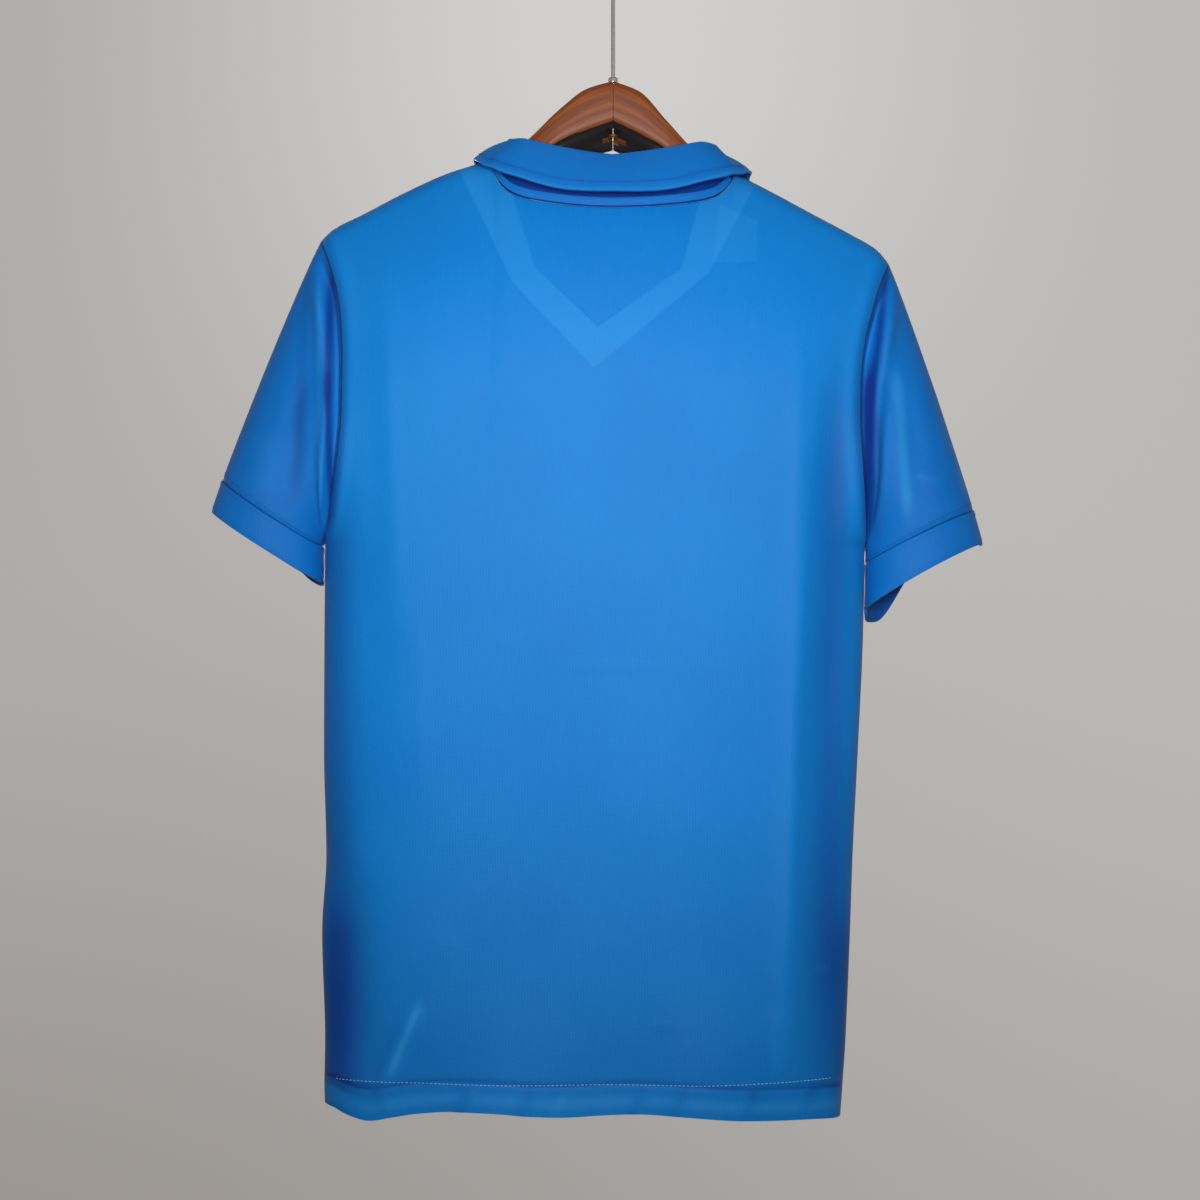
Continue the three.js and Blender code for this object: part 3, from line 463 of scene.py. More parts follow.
# and by place: painted shade low on the body and at the armholes, a painted highlight beside them
# and on the hem's face, painted shade and highlight along its puckers, and painted shade on the
# hem's fold and its seam
placePaintedShading = {
    "low": 0.22, "lowHeight": 330.0, "armhole": 0.4, "armholeWidth": 9.0,
    "beside": 0.25, "besideAt": 9.0, "besideWidth": 5.0,
    "hemFace": 0.8, "hemFaceAt": 12.0, "hemFaceWidth": 7.0, "pucker": 0.4,
    "hemFold": 0.5, "hemFoldAt": 5.6, "hemFoldWidth": 0.8, "hemSeam": 0.3,
}


# Height of the shoulder line over x: the shoulder table outside the neck points, and between
# them a straight line with a low arch on it.
def shoulderLine(x):
    left = curve(shoulderTable, (x - neckPoint[0]) / (shoulderPoint[0] - neckPoint[0]), 1)
    right = curve(shoulderTable, (x - neckPoint[1]) / (shoulderPoint[1] - neckPoint[1]), 2)
    t = (x - neckPoint[0]) / (neckPoint[1] - neckPoint[0])
    arch = bodySizes["neckCrest"] * 4 * t * (1 - t)
    over = mix(shoulderTable[0][1], shoulderTable[0][2], t) + arch
    return np.where(x < neckPoint[0], left, np.where(x > neckPoint[1], right, over))


# Left and right edge of the body at a height: the sides below the armpit, the armholes above.
def edges(height):
    armpit = bodySizes["armpit"]
    made = []
    for column, end in ((1, shoulderTable[-1][1]), (2, shoulderTable[-1][2])):
        above = curve(armholeTable, np.clip((height - armpit) / (end - armpit), 0, 1), column)
        made.append(np.where(height <= armpit, curve(sideTable, height, column), above))
    return made


# Depth below the ridge: a quarter round of the ridge's radius, then 1 - (1 - t)² to full depth.
def ridgeDepth(below):
    r = bodySizes["ridge"]
    t = np.clip(below / r, 0, 1)
    down = np.clip(below / bodySizes["slopeLength"], 0, 1)
    return r * np.sqrt(1 - (1 - t) ** 2) + (bodySizes["depth"] - r) * (1 - (1 - down) ** 2)


def foldsAt(rows, x, height):
    total = np.zeros(np.broadcast(x, height).shape)
    for topX, topHeight, footX, footHeight, half, out in rows:
        t = (topHeight - height) / (topHeight - footHeight)
        off = (x - mix(topX, footX, t)) / half
        total += out * np.exp(-off * off) * ease((t + 0.15) / 0.3) * ease((1.15 - t) / 0.3)
    return total


# Distance of the cloth from the middle plane: the ridge's depth times a rounded section across,
# which the armhole holds further out, plus folds, creases and the hem's flare and waves. At the
# edge the armhole opens sharply from the armpit; the middle of the body fills out slowly.
def skin(side, x, height, detail=True):
    left, right = edges(height)
    across = np.clip(np.abs((2 * x - left - right) / (right - left)), 0, 1)
    end = mix(shoulderTable[-1][1], shoulderTable[-1][2],
              (x - shoulderPoint[0]) / (shoulderPoint[1] - shoulderPoint[0]))
    rise = (height - bodySizes["armpit"]) / (end - bodySizes["armpit"])
    opening = np.sqrt(1 - (1 - np.clip(rise / 0.35, 0, 1)) ** 2)
    chest = bodySizes["chest"]
    filling = ease((height - bodySizes["armpit"] + chest) / (2 * chest))
    start = bodySizes["armholeDepth"] * mix(filling, opening, across**12)
    held = start + (1 - bodySizes["armholeDepth"]) * ease((rise - 0.6) / 0.4)
    n = bodySizes["corner"]
    arch = mix((1 - across**n) ** (1 / n), 1 - across**6, start / bodySizes["armholeDepth"])
    low = ease(1 - (height - hem["height"]) / 130)
    wave = hem["wave"] * 2 * np.sin(2 * math.pi * (x + side * 37) / hem["wavelength"])
    folds, creases = (backFolds, backCreases) if side < 0 else (frontFolds, frontCreases)
    extra = foldsAt(folds, x, height) * (1 - held) + low * (hem["flare"] + wave)
    if detail:
        extra = extra + creasesAt(creases, x, height)
    return ridgeDepth(shoulderLine(x) - height) * (held + (1 - held) * arch) + extra * arch


def backNeckline(x):
    middle = backNeck["middle"]
    half = np.where(x < middle, middle - neckPoint[0], neckPoint[1] - middle)
    s = np.clip(np.abs(x - middle) / half, 0, 1)
    top = np.where(x < middle, shoulderTable[0][1], shoulderTable[0][2])
    return mix(backNeck["low"], top, backNeck["round"] * s * s + (1 - backNeck["round"]) * s**12)


def frontNeckline(x):
    return straight(frontNeckTable, x)


# Splits each span of a list into equal steps no longer than step, and at least least of them.
def fineSteps(places, step, least=1):
    made = [np.array([places[0]], float)]
    for a, b in zip(places[:-1], places[1:]):
        count = max(least, math.ceil(abs(b - a) / step))
        made.append(a + (b - a) * np.arange(1, count + 1) / count)
    return np.concatenate(made)


# Outside points of a panel and its wall directions. Below the armpit a row is level; above it
# the rows rise from level to the line of the shoulders and the neck.
def panelGrid(side):
    middle = backNeck["middle"] if side < 0 else frontNeckMiddle
    neckline = backNeckline if side < 0 else frontNeckline
    corners = [s * (p - middle) + middle for p in neckPoint for s in (1, 0.91, 0.8, 0.61, 0.3)]
    shoulder = [mix(s, n, (i / 9) ** 2) for s, n in zip(shoulderPoint, neckPoint) for i in range(9)]
    places = sorted([*corners, *shoulder, middle])
    top = fineSteps(places, bodySizes["column"])
    share = (top - shoulderPoint[0]) / (shoulderPoint[1] - shoulderPoint[0])
    outer = (top <= neckPoint[0]) | (top >= neckPoint[1])

    def crownAt(x):
        return np.where((x <= neckPoint[0]) | (x >= neckPoint[1]), shoulderLine(x), neckline(x))

    armpit, hemTop = bodySizes["armpit"], hem["height"] + hem["deep"]
    heights = fineSteps([hem["height"], hem["height"] + 8, hemTop - 1.6, hemTop - 0.8, hemTop,
                         hemTop + 0.8, hemTop + 1.6, armpit], bodySizes["row"])[:, None]
    rises = fineSteps([0, 0.9, 0.983, 0.996, 1], bodySizes["row"] / 232, 4)[1:, None]
    left, right = edges(heights)
    lowX = mix(left, right, share[None])
    low = ease(1 - (heights - hem["height"]) / 90)
    lowZ = heights + low * (curve(hemTable, lowX, 1 if side < 0 else 2) - hem["height"])
    highX = mix(curve(armholeTable, rises, 1), curve(armholeTable, rises, 2), share[None])
    crown = crownAt(np.where(rises == 1, top[None], mix(highX, top[None], ease(rises))))
    highZ = mix(armpit, crown, rises)
    x, z = np.concatenate([lowX, highX]), np.concatenate([lowZ, highZ])
    rise = np.concatenate([np.zeros(len(heights)), rises[:, 0]])

    y = skin(side, x, z)
    below = np.concatenate([heights[:, 0], np.full(len(rises), 999)])[:, None]
    band = ease((hemTop + 0.6 - below) / 1.2)
    seam = bell(below - hemTop - 0.8, 1.2)
    puckers = creasesAt(hemPuckers, x * (-side), z)
    y = y + hem["extra"] * band - hem["groove"] * seam
    y = y + puckers
    fromEdge = np.minimum(x - x[:, :1], x[:, -1:] - x)
    dip = bodySizes["seamDip"] * bell(fromEdge, bodySizes["seamWidth"])
    dip = dip - bodySizes["seamEdge"] * bell(fromEdge - 5, bodySizes["edgeWidth"])
    y = y - dip * ease(rise[:, None] / 0.12) * ease((1 - rise[:, None]) / 0.05)
    y = np.maximum(y, bodySizes["seamGap"] / 2)
    sideSeam = rise == 0
    y[sideSeam, 0] = y[sideSeam, -1] = bodySizes["seamGap"] / 2
    y[-1, outer] = bodySizes["seamGap"] / 2
    points = np.stack([x, side * y, z], -1)

    across, along = np.gradient(points, axis=1), np.gradient(points, axis=0)
    walls = unit(np.cross(across, along) * -side)
    walls[sideSeam, 0], walls[sideSeam, -1] = (-1, 0, 0), (1, 0, 0)
    fall = shoulderLine(top + 2) - shoulderLine(top - 2)
    seamWalls = unit(np.stack([-fall / 4, np.zeros_like(fall), np.ones_like(fall)], -1))
    walls[-1, outer] = seamWalls[outer]
    # painted shade and highlight for the panel's colour
    h = placePaintedShading
    hollow = creasesAt(backPaintedShading if side < 0 else frontPaintedShading, x, z)
    hollow = hollow + h["low"] * ease(1 - z / h["lowHeight"])
    above = ease(rise[:, None] / 0.1) * ease((1 - rise[:, None]) / 0.04)
    hollow += above * (h["armhole"] * bell(fromEdge, h["armholeWidth"])
                       - h["beside"] * bell(fromEdge - h["besideAt"], h["besideWidth"]))
    hollow -= (h["hemFace"] * band * bell(below - hemTop + h["hemFaceAt"], h["hemFaceWidth"])
               - puckers * h["pucker"] * band)
    hollow += h["hemFold"] * band * bell(below - hemTop + h["hemFoldAt"], h["hemFoldWidth"])
    hollow += h["hemSeam"] * seam
    return {"points": points, "walls": walls, "rise": rise, "top": top, "hollow": hollow}


backGrid, frontGrid = panelGrid(-1), panelGrid(1)
panels = {}
for name, made, finish in (("back_panel", backGrid, backCloth), ("front_panel", frontGrid, cloth)):
    form = shell(made["points"], made["points"] - made["walls"] * bodySizes["wall"])
    panels[name] = addPiece("jersey_" + name, form, finish, [name],
                            hollow=made["hollow"])
print("panels made", backGrid["points"].shape)

# ---- sleeves and cuffs
sleeveSizes = {
    # outer x, outer height, inner x, inner height, sag of the near layer
    "left": {"seam": (-297.2, 484.6, -220.4, 434.5, 2.0),
             "end": (-305.6, 460.4, -220.1, 406.5, 1.5),
             "halfDepth": 32.0, "middleY": 5.0, "lift": 3.0, "droop": 7.0, "top": 14.0},
    "right": {"seam": (274.4, 460.2, 192.2, 421.0, -4.5),
              "end": (281.6, 434.6, 191.6, 386.0, -6.0),
              "halfDepth": 32.0, "middleY": 5.0, "lift": 8.0, "droop": 19.0, "top": 14.0},
    "gap": 0.1, "wall": 1.4, "cuffWall": 2.2, "rings": 72, "cuffRings": 18,
    "valley": 7.5, "valleyAt": 8.5, "valleyWidth": 5.0,  # beside the armhole, on the near side
    "ridge": 3.2, "ridgeAt": 21.0, "ridgeWidth": 7.5, "farShare": 0.5,
    "endDip": 0.9, "endDipWidth": 2.2, "welt": 0.8, "weltAt": 0.07, "weltWidth": 0.06,
}
# creases of the sleeves, near (back) side and far (front) side
sleeveCreases = {
    "left": [[(-206, 640, -214, 470, 6, 1.4), (-214, 600, -222, 450, 5, -1.6),
              (-240, 560, -262, 480, 10, 0.9), (-232, 520, -244, 470, 7, -0.8)],
             [(-212, 620, -226, 470, 7, 1.2), (-238, 560, -250, 470, 10, -1.2)]],
    "right": [[(208, 585, 217, 445, 6.5, 1.8), (194, 600, 200, 440, 7, -2.0),
               (230, 486, 252, 480, 4.5, 0.7), (232, 560, 250, 470, 11, 0.7)],
              [(205, 590, 214, 450, 7, 1.4), (228, 540, 240, 460, 10, -1.2)]],
}
# the same columns for painted shade (+) and a painted highlight (-) on the folds of the near side
sleevePaintedShading = {
    "left": [(-211, 650, -214, 540, 5, 0.75), (-214, 560, -210, 440, 4, 0.8),
             (-230, 665, -236, 470, 6, 0.28), (-231, 560, -243, 460, 8, 0.25),
             (-221, 640, -218, 450, 4, -0.5), (-255, 520, -262, 470, 14, -0.3)],
    "right": [(208, 655, 191, 530, 3.5, 0.7), (191, 570, 188, 425, 5, 0.95),
              (197, 540, 198, 430, 6, 0.4), (212, 570, 221, 450, 5, -0.75),
              (233, 560, 246, 460, 9, 0.2), (226, 487, 250, 480, 3.5, -0.4),
              (262, 500, 268, 470, 5, -0.5)],
}


# The armhole's points round from the shoulder, down the back and up the front, with the wall's
# direction there and the way on into the sleeve, which is square to both.
def armholeLoop(name):
    column = 0 if name == "left" else -1
    outward = -1 if name == "left" else 1
    rise = backGrid["rise"]
    first = int(np.argmax(rise > 0))
    back, front = backGrid["points"][:, column], frontGrid["points"][:, column]
    backWall, frontWall = backGrid["walls"][:, column], frontGrid["walls"][:, column]
    pit = back[first - 1] * [1, 0, 1]
    at = np.concatenate([back[first:][::-1], pit[None], front[first:-1]])
    wall = np.concatenate([backWall[first:][::-1], [[outward, 0, 0]], frontWall[first:-1]])
    at[0, 1] = 0
    angle = np.concatenate([math.pi * (1 - rise[first:][::-1]), [math.pi],
                            2 * math.pi - math.pi * (1 - rise[first:-1])])
    onward = unit(np.cross(np.roll(at, -1, 0) - np.roll(at, 1, 0), wall)) * -outward
    return at, wall, onward, angle


# A tilted oval between an outer and an inner corner, whose angle runs round the armhole.
def ovalRing(size, corners, angle):
    outerX, outerHeight, innerX, innerHeight, sag = corners
    t, across = (1 - np.cos(angle)) / 2, np.sin(angle)
    far, near = np.sqrt(np.maximum(-across, 0)), np.maximum(across, 0)
    fall = mix(-size["lift"], size["droop"], ease((t - 0.5) / 0.4))
    return np.stack([
        mix(outerX, innerX, t), size["middleY"] - size["halfDepth"] * across,
        mix(outerHeight, innerHeight, t) - fall * far - sag * near,
    ], -1)


def ringWalls(rings, name):
    around = np.roll(rings, -1, 1) - np.roll(rings, 1, 1)
    down = np.gradient(rings, axis=0)
    return unit(np.cross(around, down)) * (-1 if name == "left" else 1)


# Rings from the armhole to the cuff's seam along cubics that leave the armhole square and
# arrive in the cuff's direction; then the cuff's rings between its two ovals.
def sleeveGrids(name):
    size = sleeveSizes[name]
    at, wall, onward, angle = armholeLoop(name)
    start = at + onward * sleeveSizes["gap"]
    finish, tip = ovalRing(size, size["seam"], angle), ovalRing(size, size["end"], angle)
    reach = np.linalg.norm(finish - start, axis=1)[:, None]
    most = mix(size["top"], 70, np.abs(np.sin(angle)))[:, None]
    leave, arrive = onward * np.clip(reach * 0.5, 8, most), unit(tip - finish) * reach * 0.9
    v = (np.linspace(0, 1, sleeveSizes["rings"]) ** 1.15)[:, None, None]
    rings = (start * (2 * v**3 - 3 * v**2 + 1) + leave * (v**3 - 2 * v**2 + v)
             + finish * (3 * v**2 - 2 * v**3) + arrive * (v**3 - v**2))
    walls = ringWalls(rings, name)
    walls[0] = wall
    near = rings[:, :, 1] < size["middleY"]
    out = [creasesAt(rows, rings[:, :, 0], rings[:, :, 2]) for rows in sleeveCreases[name]]
    fromSeam = np.linalg.norm(rings - rings[:1], axis=2)
    fromEnd = np.linalg.norm(rings - rings[-1:], axis=2)
    side = np.where(angle < math.pi, 1, sleeveSizes["farShare"])[None]
    beside = side * ease(np.abs(np.sin(angle)) / 0.55)[None]
    beside = beside * ease(fromEnd / 30) * ease(fromSeam / 4)
    valley, ridge = (sleeveSizes[key] * bell(fromSeam - sleeveSizes[key + "At"],
                                             sleeveSizes[key + "Width"])
                     for key in ("valley", "ridge"))
    hold = ease(fromSeam / 8) * ease(fromEnd / 10)
    dip = sleeveSizes["endDip"] * bell(fromEnd, sleeveSizes["endDipWidth"])
    shape = np.where(near, out[0], out[1]) * hold + beside * (ridge - valley) - dip
    rings = rings + walls * shape[:, :, None]
    walls = ringWalls(rings, name)
    walls[0] = wall
    w = np.linspace(0, 1, sleeveSizes["cuffRings"])[:, None, None]
    cuff = mix(finish, tip, w)
    cuff[0] += unit(tip - finish) * sleeveSizes["gap"]
    cuffWalls = ringWalls(cuff, name)
    welt = sleeveSizes["welt"] * bell(w - sleeveSizes["weltAt"], sleeveSizes["weltWidth"])
    bulge = 0.7 * (1 - (2 * w - 1) ** 6) - 0.3 + welt
    # painted shade and highlight on the near side, fading out before the cuff
    hollow = creasesAt(sleevePaintedShading[name], rings[:, :, 0], rings[:, :, 2])
    hollow = np.where(near, hollow, 0) * ease(fromEnd / 14)
    return rings, walls, cuff + cuffWalls * bulge, cuffWalls, hollow


sleevePieces, cuffPieces, sleeveRings = {}, {}, {}
for name in ("left", "right"):
    rings, walls, cuff, cuffWalls, hollow = sleeveGrids(name)
    sleeveRings[name] = (rings, walls)
    form = shell(rings, rings - walls * sleeveSizes["wall"], True)
    sleevePieces[name] = addPiece("jersey_sleeve_" + name, form, sleeveCloth, ["sleeve_" + name],
                                  hollow=hollow)
    form = shell(cuff, cuff - cuffWalls * sleeveSizes["cuffWall"], True)
    # painted shade on the inside of the cuff, none on its outside
    outer = np.zeros(cuff.shape[:2])
    cuffPieces[name] = addPiece("jersey_cuff_" + name, form, cuffCloth, ["cuff_" + name],
                                hollow=np.stack([outer, outer + 0.6]))
print("sleeves made", rings.shape)

# ---- collar, binding and band
collarSizes = {
    "wall": 1.8, "frontX": (-62.5, 53.0), "neckStation": 0.62, "steps": 90, "seamGap": 0.1,
    "bow": 1.6,
    # along, stand, lean, out, drop, turn, lift
    "table": [(0, 39, 2, 20, 30, -90, 0), (0.18, 42.5, 2, 20, 34, -87, 0),
              (0.3, 44, 4, 19, 32, -80, 0), (0.42, 36.5, 9, 24, 25.5, -60, 0),
              (0.5, 23, 12, 26, 18.5, -42, 0),
              (0.62, 12.5, 11, 24.5, 13.5, -5, 2), (0.8, 11, 6, 42, 16, 6, 8),
              (1, 3, 5.5, 56, 3, -6, 8)],
    # a painted highlight on the leaf's edge, a painted shade line near it (counted in rows from the
    # edge), and painted shade on the far side
    "edge": -0.6, "edgeRows": 1.2, "line": 0.3, "lineAt": 3.2, "lineRows": 0.9,
    "shade": 0.95, "shadeFrom": 1.5, "edgeShade": 0.1,
}
bindingSizes = {"reach": 0.5, "low": 0.7, "high": 7.0, "wall": 1.0, "steps": 90}
bandSizes = {
    "off": 0.5, "wall": 1.2, "steps": 40, "across": 14,
    # innerX, innerHeight, outerX, outerHeight
    "table": [(-77.5, 697, -99, 690), (-63.2, 655, -79.5, 644), (-11.6, 606, -13.8, 574),
              (53.6, 651.6, 75.8, 647), (71.5, 694, 93, 688)],
}


# Stations of the collar: the base on the neckline and off it, the way outwards, and the table.
def collarStations(along):
    a, right = np.abs(along), along >= 0
    sign, neck = np.where(right, 1, -1), np.where(right, neckPoint[1], neckPoint[0])
    station, wall = collarSizes["neckStation"], collarSizes["wall"]
    onBack = a <= station
    backX = mix(backNeck["middle"], neck, np.sin(np.clip(a / station, 0, 1) * math.pi / 2))
    frontX = mix(neck, np.where(right, *collarSizes["frontX"][::-1]), (a - station) / (1 - station))
    x = np.where(onBack, backX, frontX)
    z = np.where(onBack, backNeckline(x), frontNeckline(x))
    y = np.where(onBack, -np.maximum(skin(-1, x, z, False) - bodySizes["wall"] / 2, 0),
                 skin(1, x, z, False) - bodySizes["wall"] / 2)
    y = np.where(np.abs(a - station) < 1e-6, 0, y)
    inner = np.clip(x, neckPoint[0] + 1, neckPoint[1] - 1)
    steep = np.where(onBack, backNeckline(inner + 1) - backNeckline(inner - 1),
                     frontNeckline(inner + 1) - frontNeckline(inner - 1)) / 2
    off = unit(np.stack([-steep, np.ones_like(steep)], -1))
    spare = np.where(onBack, 0.15, 0.75)[:, None]
    off = off * (collarSizes["seamGap"] + spare + (wall / 2 + 0.4) * np.abs(off[:, :1]))
    column = [curve(collarSizes["table"], a, i) for i in range(1, 7)]
    turn = np.radians(column[4])
    outward = np.stack([sign * np.cos(turn), np.sin(turn), np.zeros_like(turn)], -1)
    return {"base": np.stack([x + off[:, 0], y, z + off[:, 1]], -1), "outward": outward,
            "stand": column[0], "lean": column[1], "out": column[2], "drop": column[3],
            "lift": column[5]}


# The collar's middle line at every station: up the stand, round the roll, down the leaf.
def collarLines(s, arcSteps=10, leafSteps=14):
    roll = np.minimum(3, s["stand"] * 0.45)
    standAngle, fall = np.arctan2(s["lean"], s["stand"]), np.arctan2(s["drop"], s["out"])
    t = np.linspace(0, 1, arcSteps + 1)
    angle = mix((math.pi + standAngle)[:, None], (math.pi / 2 - fall)[:, None], t)
    arcOut = -s["lean"][:, None] + roll[:, None] * np.cos(angle)
    arcUp = (s["stand"] - roll)[:, None] + roll[:, None] * np.sin(angle)
    w = np.linspace(0, 1, 9)[None, :-1]
    standOut = arcOut[:, :1] * w - 0.3 * np.sin(math.pi * w)
    standUp = arcUp[:, :1] * w
    q = np.linspace(0, 1, leafSteps + 1)[None, 1:]
    bow = collarSizes["bow"] * np.sin(math.pi * q)
    tipOut, tipUp = (s["out"] - s["lean"])[:, None], (s["stand"] - s["drop"])[:, None]
    leafOut = mix(arcOut[:, -1:], tipOut, q) + bow * np.sin(fall)[:, None]
    leafUp = mix(arcUp[:, -1:], tipUp, q) + bow * np.cos(fall)[:, None]
    return (np.concatenate([standOut, arcOut, leafOut], 1),
            np.concatenate([standUp, arcUp, leafUp], 1))


def placed(s, out, up):
    p = s["base"][:, None] + s["outward"][:, None] * out[..., None]
    p[..., 1] += s["lift"][:, None] * np.clip(up / 5 + np.maximum(out, 0) / 30, 0, 1)
    p[..., 2] += up
    return p


stations = collarStations(np.linspace(-1, 1, 2 * collarSizes["steps"] + 1))
collarMiddle = placed(stations, *collarLines(stations))
collarWalls = unit(np.cross(np.gradient(collarMiddle, axis=0), np.gradient(collarMiddle, axis=1)))
half = collarSizes["wall"] / 2
# the leaf's underside and the stand's outside lie in shade, and the leaf's edge catches light
fromTip = np.arange(collarMiddle.shape[1])[::-1][None] + np.zeros((len(collarMiddle), 1))
upper = (collarSizes["edge"] * bell(fromTip, collarSizes["edgeRows"])
         + collarSizes["line"] * bell(fromTip - collarSizes["lineAt"], collarSizes["lineRows"]))
shaded = np.where(fromTip > collarSizes["shadeFrom"], collarSizes["shade"],
                  collarSizes["edgeShade"])
collarForm = shell(collarMiddle + collarWalls * half, collarMiddle - collarWalls * half)
collarPiece = addPiece("jersey_collar", collarForm, trimCloth, ["collar"],
                       hollow=np.stack([shaded, upper]))


# The binding: a strip with a rounded section along the foot of the stand.
def bindingForm():
    reach, low, high = (bindingSizes[key] for key in ("reach", "low", "high"))
    s = collarStations(np.linspace(-reach, reach, bindingSizes["steps"]))
    lean = (-s["lean"] / s["stand"])[:, None]
    start, wall = collarSizes["wall"] / 2 + 0.5, bindingSizes["wall"]
    angle = np.linspace(0, 2 * math.pi, 17)[None, :-1]
    middle, tall = (low + high) / 2, high - low
    up = middle + tall / 2 * np.sign(np.sin(angle)) * np.abs(np.sin(angle)) ** 0.6
    off = start + wall / 2 + wall / 2 * np.sign(np.cos(angle)) * np.abs(np.cos(angle)) ** 0.6
    up = np.broadcast_to(up, (len(lean), 16))
    return loft(placed(s, off + up * lean, up))


bindingPiece = addPiece("jersey_neck_binding", bindingForm(), trimCloth, ["neck_binding"])


# The band round the V: straight strips between its corners, laid on the front panel.
def bandGrids():
    table = np.array(bandSizes["table"], float)
    spans = len(table) - 1
    t = np.linspace(0, spans, spans * bandSizes["steps"] + 1)
    ix, ih, ox, oh = (np.interp(t, np.arange(len(table)), table[:, i])[:, None] for i in range(4))
    s = np.linspace(0, 1, bandSizes["across"])[None]
    x, z = mix(ix, ox, s), mix(ih, oh, s)
    edge = 0.6 * (1 - (2 * s - 1) ** 8)
    y = skin(1, x, z) + bandSizes["off"]
    outside = np.stack([x, y + bandSizes["wall"] - 0.6 + edge, z], -1)
    return outside, np.stack([x, y, z], -1)


bandOutside, bandInside = bandGrids()
bandPiece = addPiece("jersey_neck_band", shell(bandOutside, bandInside), trimCloth,
                     ["neck_v_band"])
print("collar and bands made")

# ---- stitches
# the rings of a thread: place along it, and width and height in radii
spindle = [(-0.5, 0.15, -0.5), (-0.28, 0.9, 0.3), (0.28, 0.9, 0.3), (0.5, 0.15, -0.5)]


# Short threads along a path: each a six-sided spindle of four rings, thin at both ends, which
# lies on the cloth with its middle raised.
def stitchForm(path, normals, pitch, length, radius, rise=0.12):
    step = np.linalg.norm(np.diff(path, axis=0), axis=1)
    far = np.concatenate([[0], np.cumsum(step)])
    count = max(2, int(far[-1] / pitch))
    at = (np.arange(count) + 0.5) * far[-1] / count

    def on(values, where):
        return np.stack([np.interp(where, far, values[:, i]) for i in range(3)], -1)

    middle, normal = on(path, at), unit(on(normals, at))
    ahead = unit(on(path, at + 0.3) - on(path, at - 0.3))
    sideways = unit(np.cross(ahead, normal))
    sideways = np.cross(unit(ahead), normal)
    angle = np.linspace(0, 2 * math.pi, 7)[:-1]
    rings = []
    for share, width, up in spindle:
        centre = middle + ahead * length * share + normal * (rise + radius * up)
        around = (sideways[:, None] * np.cos(angle)[None, :, None]
                  + normal[:, None] * np.sin(angle)[None, :, None]) * radius * width
        rings.append(centre[:, None] + around)
    points = np.stack(rings, 1)  # stitch, ring, side, xyz
    quads = gridFaces(closed(np.arange(24).reshape(4, 6)))
    caps = np.array([[0, 3, 2, 1], [0, 5, 4, 3], [18, 19, 20, 21], [18, 21, 22, 23]])
    one = np.concatenate([quads, caps])
    faces = (one[None] + 24 * np.arange(count)[:, None, None]).reshape(-1, 4)
    return points.reshape(-1, 3), [faces], None


# One piece from the threads of several paths.
def addStitches(name, forms, finish):
    points, faces, total = [], [], 0
    for p, f, _ in forms:
        points.append(p)
        faces.append(f[0] + total)
        total += len(p)
    whole = np.concatenate(points), [np.concatenate(faces)], None
    return addPiece(name, whole, finish, creased=180)


# A level line on a panel at a height, with its normals.
def panelLine(made, height, margin=6):
    column = np.arange(margin, made["points"].shape[1] - margin)
    rows = made["points"][:120]
    z = rows[:, :, 2]
    path, normals = [], []
    for c in column:
        r = np.interp(height, z[:, c], np.arange(len(z)))
        k, t = int(r), r - int(r)
        path.append(mix(rows[k, c], rows[k + 1, c], t))
        normals.append(made["walls"][k, c])
    return np.array(path), np.array(normals)


# pitch, length and radius of the threads, and half the width of the neck's seam
stitchSizes = {"hem": (3.1, 2.1, 0.32), "neck": (2.4, 1.7, 0.24), "trim": (2.8, 2.0, 0.2),
               "cuff": (3.0, 2.1, 0.2), "neckReach": 82}
neck = np.abs(backGrid["top"]) < stitchSizes["neckReach"]
neckForm = stitchForm(backGrid["points"][-4, neck], backGrid["walls"][-4, neck],
                      *stitchSizes["neck"])
neckStitches = addStitches("neck_seam_stitches", [neckForm], threadBlue)
hemForms = [stitchForm(*panelLine(made, hem["height"] + hem["deep"] + 1.6), *stitchSizes["hem"])
            for made in (backGrid, frontGrid)]
hemStitches = addStitches("hem_stitches", hemForms, threadLight)

leafRow = collarMiddle.shape[1] - 4
collarForms = [stitchForm(collarMiddle[:, leafRow] + collarWalls[:, leafRow] * side * (half + 0.05),
                          collarWalls[:, leafRow] * side, *stitchSizes["trim"])
               for side in (1, -1)]
collarStitches = addStitches("collar_stitches", collarForms, threadBlue)

bandForms = [stitchForm(line, np.zeros_like(line) + [0, 1, 0], *stitchSizes["trim"])
             for line in (bandOutside[:, 2], bandOutside[:, -3])]
bandStitches = addStitches("neck_band_stitches", bandForms, threadBlue)

cuffForms = [stitchForm(*(np.concatenate([rows[-3], rows[-3][:1]]) for rows in sleeveRings[name]),
                        *stitchSizes["cuff"]) for name in ("left", "right")]
cuffStitches = addStitches("cuff_stitches", cuffForms, threadBlue)
print("stitches made")

